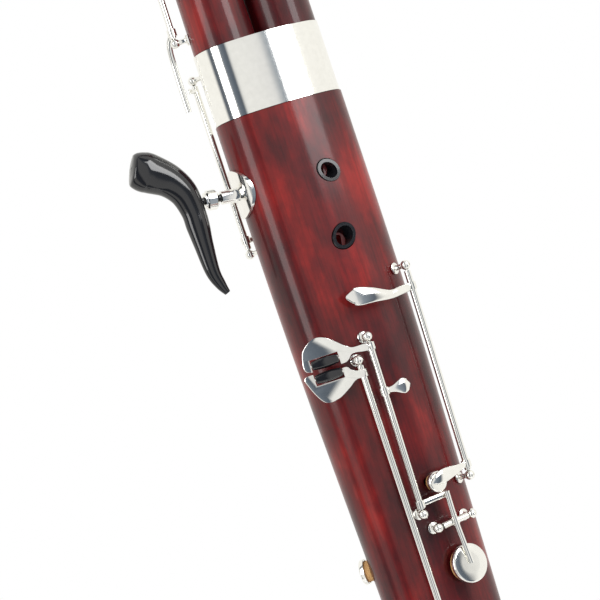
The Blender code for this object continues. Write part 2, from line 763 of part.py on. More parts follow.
def wing_ring(height, bulge):
    """The wing's outline: a round tube wrapped together with a second round further out."""
    axis = Vector((WING_AXIS, 0, height))
    rounds = [(axis, wing_radius(height))]
    if bulge > 0:
        rounds.append((axis + direction(WING_BULGE_ANGLE) * (WING_BULGE * bulge), WING_BULGE_RADIUS))
    points = []
    for step in range(BODY_SIDES):
        turn = math.tau * step / BODY_SIDES
        ray = Vector((math.cos(turn), math.sin(turn), 0))
        centre, radius = max(rounds, key=lambda item: item[0].dot(ray) + item[1])
        points.append(centre + ray * radius)
    return points


def make_wing(looks, cuts):
    tenon_foot = WING_FOOT - TENON_DEPTH
    band_foot = WING_TOP - WING_BAND_HEIGHT
    rings = [circle(radius, height, BODY_SIDES, WING_AXIS)
             for radius, height in tenon(tenon_foot, WING_FOOT, WING_TENON, CORK_HEIGHT)]
    shares = [0.0, 0.18, 0.22, 0.25, 0.28, 0.32, 0.53, 0.74, 0.78, 0.81, 0.84, 0.88]
    rings += [wing_ring(wing_height(share), wing_bulge(share)) for share in shares]
    inside = wing_radius(band_foot) - BAND_WALL - GAP
    rings += [circle(wing_radius(band_foot), band_foot - GAP, BODY_SIDES, WING_AXIS),
              circle(inside, band_foot - GAP, BODY_SIDES, WING_AXIS),
              circle(inside, WING_TOP - BAND_WALL - GAP, BODY_SIDES, WING_AXIS)]
    socket = BOCAL_CORK_RADIUS + GAP
    socket_foot = WING_TOP - BOCAL_SEAT_DEPTH - SOCKET_SPARE
    foot = Vector((WING_AXIS, 0, tenon_foot - MM))
    bores = [rod(foot, Vector((WING_AXIS, 0, socket_foot + MM)), WING_BORE_FOOT, CUP_SIDES,
                 WING_BORE_TOP),
             rod(Vector((WING_AXIS, 0, socket_foot)), Vector((WING_AXIS, 0, WING_TOP)), socket,
                 CUP_SIDES)]
    reach = direction(WING_BULGE_ANGLE) * (WING_BULGE + WING_BULGE_RADIUS + 2 * MM)
    for share, slope in ((0.64, 5.0), (0.56, 0.0), (0.48, -5.0)):
        outside = Vector((WING_AXIS, 0, wing_height(share))) + reach
        inside_point = Vector((WING_AXIS, 0, wing_height(share) + slope * MM))
        bores.append(rod(inside_point, outside, WING_HOLE))
    make("wing_joint", [loft(rings)], looks["wood"], cuts=bores + cuts)
    cork_ring("wing_tenon_cord", WING_AXIS, tenon_foot, WING_FOOT, WING_TENON, CORK_HEIGHT, looks)
    outer = wing_radius(band_foot)
    profile = [(outer - BAND_WALL, band_foot), (outer, band_foot), (outer, WING_TOP - 0.5 * MM),
               (outer - 0.5 * MM, WING_TOP), (socket, WING_TOP), (socket, WING_TOP - BAND_WALL),
               (outer - BAND_WALL, WING_TOP - BAND_WALL)]
    make("wing_top_band", [turned(profile, BAND_SIDES, WING_AXIS, loop=True)], looks["silver"])


def make_bocal(looks):
    """The curved metal crook, with the cork that seats it and the nib of its vent."""
    foot = WING_TOP - BOCAL_SEAT_DEPTH
    route = [(0, 0, 0), (0, 0, 21), (0, 0, 41), (-1, 3, 64), (-4, 14, 86), (-10, 36, 102),
             (-18, 66, 106), (-26, 98, 98), (-33, 128, 80), (-38, 152, 60)]
    base = Vector((WING_AXIS, 0, foot))
    path = [base + Vector(place) * MM for place in route]
    points = through(path, 2)
    last = len(points) - 1
    stations, bores = [], []
    for index, point in enumerate(points):
        share = index / last
        radius = BOCAL_RADIUS + (BOCAL_TIP_RADIUS - BOCAL_RADIUS) * share
        stations.append((point, radius, radius))
        bores.append(BOCAL_END_BORE + (BOCAL_TIP_BORE - BOCAL_END_BORE) * share)
    nib_foot = Vector((WING_AXIS, 0, WING_TOP + NIB_RISE))
    out = direction(NIB_ANGLE)
    nib = rod(nib_foot + out * (BOCAL_END_BORE + 0.3 * MM), nib_foot + out * (BOCAL_RADIUS + NIB_LENGTH),
              NIB_RADIUS, POST_SIDES)
    vent = rod(nib_foot, nib_foot + out * (BOCAL_RADIUS + NIB_LENGTH + MM), 0.5 * MM, 6)
    make("bocal", [swept(stations, TUBE_SIDES, RIGHT, bores), nib], looks["silver"], cuts=[vent],
         origin=base, axis=UP)
    profile = [(BOCAL_RADIUS + GAP, foot + MM), (BOCAL_CORK_RADIUS, foot + MM),
               (BOCAL_CORK_RADIUS, WING_TOP + 4 * MM), (BOCAL_RADIUS + GAP, WING_TOP + 4 * MM)]
    make("bocal_cork", [turned(profile, CUP_SIDES, WING_AXIS, loop=True)], looks["cork"])


def make_long_joint(looks, cuts):
    tenon_foot = WING_FOOT - TENON_DEPTH
    profile = tenon(tenon_foot, WING_FOOT, LONG_TENON, CORK_HEIGHT)
    profile += [(TUBE_RADIUS, WING_FOOT), (LONG_TOP_RADIUS, LONG_TOP)]
    top = LONG_TOP + BELL_TENON_DEPTH
    profile += [(radius, LONG_TOP + top - height)
                for radius, height in tenon(LONG_TOP, top, BELL_TENON, BELL_CORK_HEIGHT)[::-1]]
    bore = rod(Vector((LONG_AXIS, 0, tenon_foot - MM)), Vector((LONG_AXIS, 0, top + MM)),
               LONG_BORE_FOOT, BODY_SIDES, LONG_BORE_TOP)
    make("long_joint", [turned(profile, BODY_SIDES, LONG_AXIS)], looks["wood"], cuts=[bore] + cuts)
    cork_ring("long_tenon_cord", LONG_AXIS, tenon_foot, WING_FOOT, LONG_TENON, CORK_HEIGHT, looks)
    cork_ring("long_top_tenon_cord", LONG_AXIS, LONG_TOP, top, BELL_TENON, BELL_CORK_HEIGHT, looks)


def make_bell(looks):
    """The bell, with the band round its socket and the ring round its mouth."""
    def bell_outer(share):
        bulge = math.sin(math.pi * min(share / 0.45, 1.0)) * 0.5 * MM
        flare = max(share - 0.45, 0.0) / 0.55
        waist = BELL_FOOT_RADIUS + (BELL_WAIST_RADIUS - BELL_FOOT_RADIUS) * min(share / 0.45, 1.0)
        return waist + bulge + (BELL_MOUTH_RADIUS - BELL_WAIST_RADIUS) * flare ** 1.6

    band_top = BELL_FOOT + BELL_BAND_HEIGHT
    ring_foot = BELL_TOP - BELL_RING_HEIGHT
    band_room = BELL_FOOT_RADIUS - BAND_WALL - GAP
    ring_room = BELL_MOUTH_RADIUS - BAND_WALL - GAP
    wood_top = BELL_TOP - BELL_RING_LIP - GAP
    socket = BELL_TENON + TENON_CLEARANCE
    socket_top = BELL_FOOT + BELL_TENON_DEPTH + SOCKET_SPARE
    profile = [(socket, BELL_FOOT), (band_room, BELL_FOOT), (band_room, band_top + GAP)]
    for step in range(7):
        share = step / 6
        height = band_top + GAP + (ring_foot - GAP - band_top - GAP) * share
        profile.append((bell_outer(share), height))
    profile += [(ring_room, ring_foot - GAP), (ring_room, wood_top), (BELL_MOUTH_BORE, wood_top)]
    for step in range(1, 5):
        share = 1 - step / 4
        height = socket_top + (wood_top - socket_top) * share
        profile.append((BELL_BORE_FOOT + (BELL_MOUTH_BORE - BELL_BORE_FOOT) * share ** 1.3, height))
    profile.append((socket, socket_top))
    make("bell", [turned(profile, BODY_SIDES, LONG_AXIS, loop=True)], looks["wood"])
    inner = BELL_FOOT_RADIUS - BAND_WALL
    band = [(inner, BELL_FOOT), (BELL_FOOT_RADIUS, BELL_FOOT), (BELL_FOOT_RADIUS, band_top),
            (inner, band_top)]
    make("bell_band", [turned(band, BAND_SIDES, LONG_AXIS, loop=True)], looks["silver"])
    inner = BELL_MOUTH_RADIUS - BAND_WALL
    ring = [(inner, ring_foot), (BELL_MOUTH_RADIUS, ring_foot),
            (BELL_MOUTH_RADIUS, BELL_TOP - 0.7 * MM), (BELL_MOUTH_RADIUS - 0.7 * MM, BELL_TOP),
            (BELL_MOUTH_BORE, BELL_TOP), (BELL_MOUTH_BORE, BELL_TOP - BELL_RING_LIP),
            (inner, BELL_TOP - BELL_RING_LIP)]
    make("bell_ring", [turned(ring, BAND_SIDES, LONG_AXIS, loop=True)], looks["silver"])


# Crutch for the right hand

def make_crutch(looks):
    """The saddle plate with its socket, the knurled nut and the curved black hand rest."""
    height = BOOT_TOP - CRUTCH_DROP
    saddle = boot_seat(height, -90)
    out = Vector((-math.cos(math.radians(CRUTCH_SLOPE)), 0, math.sin(math.radians(CRUTCH_SLOPE))))
    start = saddle.point

    thickness = CRUTCH_PLATE_THICKNESS
    half = CRUTCH_PLATE_RADIUS + 3 * MM
    shell = boot_stack([(height - half, GAP), (height - half, GAP + thickness),
                        (height + half, GAP + thickness), (height + half, GAP)], loop=True)
    disc = rod(Vector((0, 0, height)) - RIGHT * 2 * MM, saddle.above(6 * MM), CRUTCH_PLATE_RADIUS, 20)
    socket_profile = [(CRUTCH_SOCKET_RADIUS + 0.9 * MM, 0.9 * MM),
                      (CRUTCH_SOCKET_RADIUS + 0.2 * MM, 2.2 * MM),
                      (CRUTCH_SOCKET_RADIUS, 3.4 * MM),
                      (CRUTCH_SOCKET_RADIUS, CRUTCH_SOCKET_LENGTH)]
    socket = moved(turned(socket_profile, CUP_SIDES), aligned(start, out))
    bore = rod(start + out * 1.1 * MM, start + out * (CRUTCH_SOCKET_LENGTH + MM), CRUTCH_SOCKET_BORE)
    make("crutch_plate", [shell, socket], looks["silver"], cuts=[bore], within=[disc])

    sides = 2 * NUT_FLUTES
    def fluted(radius, along, depth):
        return [Vector(((radius - depth * (step % 2)) * math.cos(math.tau * step / sides),
                        (radius - depth * (step % 2)) * math.sin(math.tau * step / sides), along))
                for step in range(sides)]
    nut_bore = CRUTCH_STEM_RADIUS + GAP
    rings = [fluted(nut_bore, 0.0, 0.0), fluted(3.0 * MM, 0.0, 0.0),
             fluted(NUT_RADIUS, 0.9 * MM, NUT_FLUTE_DEPTH),
             fluted(NUT_RADIUS, NUT_THICKNESS - 1.2 * MM, NUT_FLUTE_DEPTH),
             fluted(3.3 * MM, NUT_THICKNESS - 0.6 * MM, 0.0), fluted(3.3 * MM, NUT_THICKNESS, 0.0),
             fluted(nut_bore, NUT_THICKNESS, 0.0)]
    nut_start = start + out * NUT_START
    make("crutch_nut", [moved(loft(rings, loop=True), aligned(nut_start, out))], looks["silver"],
         origin=nut_start, axis=out)

    # Places of the rest's middle line, out from the wood and up from the socket, with half widths
    spine = [(40.2, 22.6, 4.6), (39.0, 22.0, 6.9), (36.0, 20.2, 8.1), (32.9, 18.4, 8.1), (26.6, 13.6, 7.0),
             (22.4, 7.2, 6.1), (20.9, -1.0, 5.1), (20.9, -7.3, 4.9), (21.1, -14.8, 4.1),
             (21.1, -26.3, 3.1), (19.6, -32.5, 2.3), (17.9, -36.6, 1.3)]
    stations = []
    for away, rise, width in spine:
        point = start + Vector((-away * MM, 0, rise * MM))
        stations.append((point, width * MM, max(0.78 * width, 1.2) * MM))
    body = swept(smooth_stations(stations, 2), 12, FRONT)
    stem = rod(start + out * 1.6 * MM, start + out * 20.0 * MM, CRUTCH_STEM_RADIUS)
    make("crutch", [body, stem], looks["black"], origin=start, axis=out)


# Keys on the front of the boot

def front_hinge(low_drop, low_across, high_drop, high_across, rise=KEY_RISE):
    return Hinge(front_seat(low_drop, low_across, rise), front_seat(high_drop, high_across, rise), rise)


def g_key(looks):
    """The third finger's key: a long tube with a spatula above and a pad below."""
    hinge = front_hinge(197.3 * MM, 22.6 * MM, 107.7 * MM, 24.5 * MM)
    posts("g_key_posts", hinge, looks["posts"])
    pad_radius = 3.4 * MM
    pad_seat = front_seat(194.6 * MM, 5.8 * MM)
    frame = cup_frame(pad_seat, pad_radius, hinge, G_OPEN)
    pad("g_key_pad", pad_radius, frame, looks["pad"])
    touch_root = hinge.at(BOOT_TOP - 116.6 * MM)
    spatula = leaf([touch_root, front_point(116.8 * MM, 18.0 * MM, 7.2 * MM),
                    front_point(117.0 * MM, 12.0 * MM, 7.2 * MM),
                    front_point(114.9 * MM, 4.0 * MM, 7.6 * MM),
                    front_point(113.6 * MM, -2.5 * MM, 7.6 * MM),
                    front_point(112.6 * MM, -7.2 * MM, 7.5 * MM)],
                   [1.6 * MM, 1.7 * MM, 1.8 * MM, 3.0 * MM, 3.6 * MM, 1.9 * MM],
                   direction(8))
    arm_root = hinge.at(BOOT_TOP - 192.4 * MM)
    boat = leaf([arm_root, front_point(192.6 * MM, 18.5 * MM, 6.8 * MM),
                 front_point(193.1 * MM, 9.0 * MM, 7.3 * MM),
                 front_point(194.3 * MM, 2.4 * MM, 7.3 * MM)],
                [1.4 * MM, 1.4 * MM, 2.7 * MM, 0.9 * MM], direction(10), steps=3)
    make("g_key", [hinge.tube(), hinge.collar(touch_root), hinge.collar(arm_root), spatula, boat,
                   cup(pad_radius, frame)],
         looks["key"], cuts=[hinge.bore()], origin=hinge.low, axis=hinge.ahead)
    return tone_hole(pad_seat, pad_radius, 2.4 * MM, small_bore(BOOT_TOP - 188 * MM))


# The two roller plates lie in one leaning plane. Its u runs to the right and v up from the
# boot's floor, both in millimetres below the named upper edge of the boot
PLATE_LEAN = -20.0
PLATE_PLACE = (-14.0 * MM, -23.6 * MM)
LOW_F_OUTLINE = [(-17.5, -135.9), (-17.3, -129.3), (-14.8, -126), (-10.8, -124), (-6.7, -124.8),
                 (-2.9, -127.6), (0.2, -130.4), (3.2, -132.1), (8.6, -132.5), (8.4, -135.1),
                 (2.5, -134.4), (0.1, -136.2), (-2.0, -137.0), (-8.0, -136.8)]
A_FLAT_OUTLINE = [(-18.2, -137.7), (-18.5, -141.8), (-14.3, -149.5), (-8.6, -149.8), (-3.3, -147.2),
                  (0.4, -144.8), (4.0, -144.6), (4.6, -141.9), (1.9, -141.5), (-0.4, -140.2),
                  (-1.8, -138.7), (-6.0, -138.5)]


def plate_frame():
    """The plane of the roller plates: X to the right, Y up and Z out of the plates."""
    normal = direction(PLATE_LEAN)
    return aligned(Vector((*PLATE_PLACE, BOOT_TOP)), normal)


def low_f_lever(looks):
    """The little finger's roller plate, its tube and the arm that lifts the see-saw's tail."""
    hinge = front_hinge(204.8 * MM, -4.0 * MM, 130.0 * MM, -3.2 * MM)
    posts("low_f_lever_posts", hinge, looks["posts"])
    frame = plate_frame()
    middle = (-9.3 * MM, -134.3 * MM)
    shape, slot, pin = roller_key_plate(LOW_F_OUTLINE, middle, 1, frame)
    roller("low_f_roller", middle, frame, looks["black"])
    root = hinge.at(BOOT_TOP - 134.0 * MM)
    neck = arm([root, frame @ Vector((7.4 * MM, -133.8 * MM, 0))], UP, 1.3 * MM, 0.8 * MM)
    touch_root = hinge.at(BOOT_TOP - 153.0 * MM)
    touch = leaf([touch_root, front_point(153.1 * MM, 0.0, 7.0 * MM),
                  front_point(153.3 * MM, 4.6 * MM, 7.3 * MM),
                  front_point(153.4 * MM, 7.6 * MM, 7.0 * MM)],
                 [1.1 * MM, 1.4 * MM, 3.1 * MM, 1.6 * MM], FRONT)
    arm_root = hinge.at(BOOT_TOP - 200.6 * MM)
    lift_arm = arm([arm_root, front_point(200.4 * MM, 9.2 * MM, 5.4 * MM)], FRONT)
    make("low_f_lever", [shape, neck, hinge.tube(), hinge.collar(root), hinge.collar(touch_root), touch,
                         hinge.collar(arm_root), lift_arm],
         looks["key"], cuts=[slot, hinge.bore()], added=[pin], origin=hinge.low, axis=hinge.ahead)


def low_f_pad_key(looks):
    """The see-saw: its tail lies on the lever's arm and its cup closes the low F hole."""
    hinge = front_hinge(212.2 * MM, 0.44 * MM, 212.0 * MM, 17.35 * MM, LOW_F_RISE)
    posts("low_f_pad_key_posts", hinge, looks["posts"])
    pad_radius = 7.1 * MM
    pad_seat = front_seat(230.1 * MM, 8.3 * MM)
    frame = cup_frame(pad_seat, pad_radius, hinge, -LOW_F_OPEN)
    pad("low_f_pad", pad_radius, frame, looks["pad"])
    lever = arm([front_point(199.2 * MM, 8.3 * MM, 7.3 * MM), front_point(212.1 * MM, 8.3 * MM, 7.0 * MM),
                 cup_top(frame)], FRONT, 1.1 * MM, 0.7 * MM)
    middle = hinge.low.lerp(hinge.high, 0.47)
    make("low_f_pad_key", [hinge.tube(), hinge.collar(middle), lever, cup(pad_radius, frame)],
         looks["key"], cuts=[hinge.bore()], origin=hinge.low, axis=hinge.ahead)
    return tone_hole(pad_seat, pad_radius, 4.4 * MM, large_bore(BOOT_TOP - 226 * MM))


def a_flat_key(looks):
    """The second roller plate, whose long tube lifts a closed pad near the foot of the boot."""
    hinge = front_hinge(279.0 * MM, -8.9 * MM, 137.8 * MM, -9.65 * MM)
    posts("a_flat_key_posts", hinge, looks["posts"])
    frame = plate_frame()
    middle = (-9.5 * MM, -139.9 * MM)
    shape, slot, pin = roller_key_plate(A_FLAT_OUTLINE, middle, -1, frame)
    roller("a_flat_roller", middle, frame, looks["black"])
    root = hinge.at(BOOT_TOP - 143.3 * MM)
    neck = arm([root, frame @ Vector((3.0 * MM, -143.3 * MM, 0))], UP, 1.3 * MM, 0.8 * MM)
    pad_radius = 5.2 * MM
    pad_seat = front_seat(267.0 * MM, 5.0 * MM)
    cup_place = cup_frame(pad_seat, pad_radius, hinge, 0.0)
    pad("a_flat_pad", pad_radius, cup_place, looks["pad"])
    arm_root = hinge.at(BOOT_TOP - 266.0 * MM)
    pad_arm = arm([arm_root, arm_root.lerp(cup_top(cup_place), 0.5) + FRONT * MM, cup_top(cup_place)],
                  FRONT)
    make("a_flat_key", [shape, neck, hinge.tube(), hinge.collar(root), hinge.collar(arm_root), pad_arm,
                        cup(pad_radius, cup_place)],
         looks["key"], cuts=[slot, hinge.bore()], added=[pin], origin=hinge.low, axis=hinge.ahead)
    return tone_hole(pad_seat, pad_radius, 3.4 * MM, large_bore(BOOT_TOP - 263 * MM))


# Keys on the back of the boot, the bridge to the wing and the keys of the upper joints

def e_key(looks):
    """The thumb's large open key, with the crank at its top that works the whisper key."""
    hinge = Hinge(boot_seat(BOOT_TOP - 83.2 * MM, -141.5), boot_seat(BOOT_TOP - 7.0 * MM, -141.5),
                  E_RISE, FERRULE_INSET)
    posts("e_key_posts", hinge, looks["posts"])
    pad_radius = 7.6 * MM
    pad_seat = boot_seat(BOOT_TOP - 79.0 * MM, 180)
    frame = cup_frame(pad_seat, pad_radius, hinge, E_OPEN)
    pad("e_pad", pad_radius, frame, looks["pad"])
    arm_root = hinge.at(BOOT_TOP - 77.0 * MM)
    bow = arm_root.lerp(cup_top(frame), 0.5) - FRONT * 1.5 * MM
    crank_root = hinge.at(BOOT_TOP - BRIDGE_DROP)
    tip = crank_root + Vector((-4.3 * MM, -4.1 * MM, 0))
    crank = arm([crank_root, tip], UP, 0.9 * MM, 0.9 * MM)
    knob = rod(tip - UP * MM, tip + UP * MM, 1.0 * MM)
    make("e_key", [hinge.tube(), hinge.collar(arm_root),
                   arm([arm_root, bow, cup_top(frame)], -FRONT), cup(pad_radius, frame), crank, knob],
         looks["key"], cuts=[hinge.bore()], origin=hinge.low, axis=hinge.ahead)
    return tone_hole(pad_seat, pad_radius, 4.6 * MM, small_bore(BOOT_TOP - 76 * MM))


def whisper_key(looks):
    """The long key on the wing whose small pad closes the vent of the bocal."""
    hinge = Hinge(wing_seat(WING_FOOT + 7.7 * MM, -105), wing_seat(wing_height(0.94), -105), 5.7 * MM)
    posts("whisper_key_posts", hinge, looks["posts"])
    out = direction(NIB_ANGLE)
    nib_tip = Vector((WING_AXIS, 0, WING_TOP + NIB_RISE)) + out * (BOCAL_RADIUS + NIB_LENGTH)
    pad_radius = 2.6 * MM
    seat = Seat(nib_tip + out * SEAT_LIP, out, 1.0)
    frame = cup_frame(seat, pad_radius, hinge, -WHISPER_OPEN)
    pad("whisper_pad", pad_radius, frame, looks["pad"])
    lever_root = hinge.at(WING_FOOT + 12.2 * MM)
    lever = arm([lever_root, lever_root + Vector((-1.8, 3.2, -4.5)) * MM,
                 lever_root + Vector((-1.6, 6.2, -15.5)) * MM,
                 lever_root + Vector((-1.3, 7.8, -32.0)) * MM],
                Vector((-0.33, -0.94, 0)), 1.2 * MM, 0.75 * MM)
    arm_root = hinge.at(wing_height(0.91))
    pad_arm = arm([arm_root, arm_root + Vector((-1.5, -5.5, 9)) * MM,
                   arm_root + Vector((2.0, -9.5, 28)) * MM, cup_top(frame)],
                  Vector((-0.8, -0.6, 0)), 1.0 * MM, 0.7 * MM)
    make("whisper_key", [hinge.tube(), hinge.collar(lever_root), hinge.collar(arm_root), lever, pad_arm,
                         cup(pad_radius, frame)],
         looks["key"], cuts=[hinge.bore()], origin=hinge.low, axis=hinge.ahead)


def thumb_keys(looks):
    """The F sharp and B flat keys on the back of the boot. It returns the boot's cutters."""
    cuts = []
    for name, side, low, high, touch, place, hole in (
            ("f_sharp_key", 1, 179.0, 107.0, 115.0, 169.0, 3.2),
            ("b_flat_key", -1, 234.0, 144.0, 153.0, 223.0, 3.4)):
        hinge = Hinge(boot_seat(BOOT_TOP - low * MM, side * 165),
                      boot_seat(BOOT_TOP - high * MM, side * 165))
        bore = large_bore if side > 0 else small_bore
        cuts += tube_key(name, hinge, boot_seat(BOOT_TOP - touch * MM, side * 178),
                         boot_seat(BOOT_TOP - place * MM, side * 125), 4.4 * MM, 0.0,
                         (hole * MM, bore(BOOT_TOP - place * MM)), looks)
    return cuts


def long_joint_keys(looks):
    """The three open keys of the lowest notes. It returns the long joint's cutters."""
    cuts = []
    for name, angle, low, high, touch, place, pad_angle in (
            ("low_d_key", 125, 0.13, 0.335, 0.315, 0.165, 178),
            ("low_c_key", 125, 0.395, 0.68, 0.415, 0.65, 178),
            ("low_b_key", 95, 0.35, 0.945, 0.366, 0.915, 160)):
        hinge = Hinge(long_seat(long_height(low), angle), long_seat(long_height(high), angle))
        cuts += tube_key(name, hinge, long_seat(long_height(touch), 176),
                         long_seat(long_height(place), pad_angle), 6.0 * MM, -LONG_KEY_OPEN,
                         (4.2 * MM, Vector((LONG_AXIS, 0, long_height(place)))), looks)
    return cuts


def high_a_key(looks):
    hinge = Hinge(wing_seat(wing_height(0.64), 178), wing_seat(wing_height(0.84), 178))
    height = wing_height(0.8)
    return tube_key("high_a_key", hinge, wing_seat(wing_height(0.67), -148), wing_seat(height, 140),
                    3.2 * MM, 0.0, (1.2 * MM, Vector((WING_AXIS, 0, height))), looks)


def build():
    clear_scene()
    silver = make_material("silver_plate", (0.86, 0.86, 0.82), 0.12, 1.0)
    looks = {
        "wood": make_material("red_maple", (0.16, 0.012, 0.012), 0.25, 0.0),
        "silver": silver,
        "key": silver,
        "posts": silver,
        "black": make_material("black_resin", (0.01, 0.01, 0.012), 0.15, 0.0),
        "cork": make_material("cork", (0.55, 0.36, 0.2), 0.85, 0.0),
        "pad": make_material("tan_leather", (0.75, 0.42, 0.17), 0.7, 0.0),
    }
    boot_cuts = bushing_cuts(UPPER_HOLE) + bushing_cuts(LOWER_HOLE)
    make_bushing("finger_bushing_upper", UPPER_HOLE, looks)
    make_bushing("finger_bushing_lower", LOWER_HOLE, looks)
    boot_cuts += g_key(looks)
    low_f_lever(looks)
    boot_cuts += low_f_pad_key(looks)
    boot_cuts += a_flat_key(looks)
    boot_cuts += e_key(looks)
    boot_cuts += thumb_keys(looks)
    make_boot(looks, boot_cuts)
    make_bend(looks)
    make_crutch(looks)
    whisper_key(looks)
    make_wing(looks, high_a_key(looks))
    make_bocal(looks)
    make_long_joint(looks, long_joint_keys(looks))
    make_bell(looks)


build()
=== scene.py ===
# %% [markdown]
# A quart bassoon, the small bassoon that sounds a fourth above the usual one, stands on its boot.
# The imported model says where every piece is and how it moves. In this lesson each piece is made
# again with a fine surface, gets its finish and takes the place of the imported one.
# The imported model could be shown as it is, but its round pieces have few sides, which glossy
# silver would show as flat strips. Blender's own start objects are removed before the loading.

import json
import math

import bmesh
import bpy
from mathutils import Matrix, Vector

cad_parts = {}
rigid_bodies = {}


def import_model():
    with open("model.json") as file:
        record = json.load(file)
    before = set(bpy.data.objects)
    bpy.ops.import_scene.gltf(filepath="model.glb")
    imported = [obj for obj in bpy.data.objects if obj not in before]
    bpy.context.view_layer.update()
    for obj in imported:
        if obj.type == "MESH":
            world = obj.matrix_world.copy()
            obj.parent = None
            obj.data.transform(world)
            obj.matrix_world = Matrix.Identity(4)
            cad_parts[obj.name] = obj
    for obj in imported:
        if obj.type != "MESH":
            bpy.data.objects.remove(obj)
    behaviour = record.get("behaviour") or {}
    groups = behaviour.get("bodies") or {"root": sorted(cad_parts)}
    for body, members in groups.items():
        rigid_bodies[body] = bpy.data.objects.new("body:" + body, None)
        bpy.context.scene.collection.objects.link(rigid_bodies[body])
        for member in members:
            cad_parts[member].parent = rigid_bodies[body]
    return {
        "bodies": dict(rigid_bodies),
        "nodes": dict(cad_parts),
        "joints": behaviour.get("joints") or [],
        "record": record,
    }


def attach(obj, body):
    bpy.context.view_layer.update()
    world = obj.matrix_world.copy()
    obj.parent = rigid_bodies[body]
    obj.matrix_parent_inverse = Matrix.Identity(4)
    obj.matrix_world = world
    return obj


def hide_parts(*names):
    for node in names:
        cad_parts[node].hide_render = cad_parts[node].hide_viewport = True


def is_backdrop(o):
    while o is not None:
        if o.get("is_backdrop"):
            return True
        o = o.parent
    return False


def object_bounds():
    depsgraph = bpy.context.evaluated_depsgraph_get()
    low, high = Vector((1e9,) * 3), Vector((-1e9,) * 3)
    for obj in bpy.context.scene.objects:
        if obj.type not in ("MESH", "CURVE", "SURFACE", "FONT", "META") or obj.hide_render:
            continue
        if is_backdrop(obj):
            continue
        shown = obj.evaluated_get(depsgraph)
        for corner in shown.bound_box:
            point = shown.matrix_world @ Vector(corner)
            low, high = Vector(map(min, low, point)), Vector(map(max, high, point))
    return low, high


for thing in list(bpy.data.objects):
    bpy.data.objects.remove(thing, do_unlink=True)
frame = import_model()
box_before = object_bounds()
record = frame["record"]
print("loaded", len(frame["nodes"]), "pieces")

# %% [markdown]
# Wood, cork, leather and silver all have marks that run through them. One noise could be built
# anew in each finish, but a node group is built once and placed in each with its own values. It
# reads Object coordinates, so the marks stay on a piece when it moves, and its stretch makes them
# long where the wood has grown long.

# %% A node group for streaks
def make_streaks():
    group = bpy.data.node_groups.new("streaks", "ShaderNodeTree")
    group.interface.new_socket("Stretch", in_out="INPUT", socket_type="NodeSocketVector")
    for name in ("Scale", "Detail", "Roughness"):
        group.interface.new_socket(name, in_out="INPUT", socket_type="NodeSocketFloat")
    group.interface.new_socket("Mask", in_out="OUTPUT", socket_type="NodeSocketFloat")
    nodes, links = group.nodes, group.links
    given = nodes.new("NodeGroupInput")
    result = nodes.new("NodeGroupOutput")
    place = nodes.new("ShaderNodeTexCoord")
    mapping = nodes.new("ShaderNodeMapping")
    noise = nodes.new("ShaderNodeTexNoise")
    links.new(place.outputs["Object"], mapping.inputs["Vector"])
    links.new(given.outputs["Stretch"], mapping.inputs["Scale"])
    links.new(mapping.outputs["Vector"], noise.inputs["Vector"])
    for name in ("Scale", "Detail", "Roughness"):
        links.new(given.outputs[name], noise.inputs[name])
    links.new(noise.outputs["Fac"], result.inputs["Mask"])
    return group


STREAKS = make_streaks()
print("group", STREAKS.name, [item.name for item in STREAKS.interface.items_tree])

# %% [markdown]
# Every finish starts from the Principled shader that Blender gives a new material. A colour ramp
# then turns the grey streaks into the finish's own colours. Its stops are (place, colour).

# %% Tools for finishes
def new_finish(name):
    material = bpy.data.materials.new(name)
    material.use_nodes = True
    nodes = material.node_tree.nodes
    return material, nodes, material.node_tree.links, nodes["Principled BSDF"]


def streaks(nodes, stretch, scale, detail, roughness):
    """Place the group in a finish and return its mask."""
    node = nodes.new("ShaderNodeGroup")
    node.node_tree = STREAKS
    node.inputs["Stretch"].default_value = stretch
    node.inputs["Scale"].default_value = scale
    node.inputs["Detail"].default_value = detail
    node.inputs["Roughness"].default_value = roughness
    return node.outputs["Mask"]


def ramp_of(nodes, links, source, stops):
    ramp = nodes.new("ShaderNodeValToRGB")
    elements = ramp.color_ramp.elements
    while len(elements) < len(stops):
        elements.new(0.5)
    for element, (place, colour) in zip(elements, stops):
        element.position = place
        element.color = (*colour, 1.0)
    links.new(source, ramp.inputs["Fac"])
    return ramp.outputs["Color"]


print("tools for finishes ready")

# %% [markdown]
# The boot, the wing, the long joint and the bell are maple, stained a deep red under a clear
# lacquer. Stained maple shows a cloudy flame, here a coarse noise, and a fine grain along the
# instrument, here a fast noise that is almost drawn out to lines. The fine one only darkens the
# coarse one, so the two are multiplied. The lacquer could be a second shader, but the coat of
# the Principled shader does the same and the export can read it.

# %% Red maple
FLAME_STRETCH = (1.0, 1.0, 0.5)
FLAME_COLOURS = [(0.30, (0.018, 0.001, 0.002)), (0.44, (0.065, 0.002, 0.004)),
                 (0.56, (0.14, 0.003, 0.004)), (0.70, (0.30, 0.009, 0.006))]
GRAIN_STRETCH = (1.0, 1.0, 0.03)
GRAIN_TONES = [(0.35, (0.72, 0.72, 0.72)), (0.6, (1.0, 1.0, 1.0))]


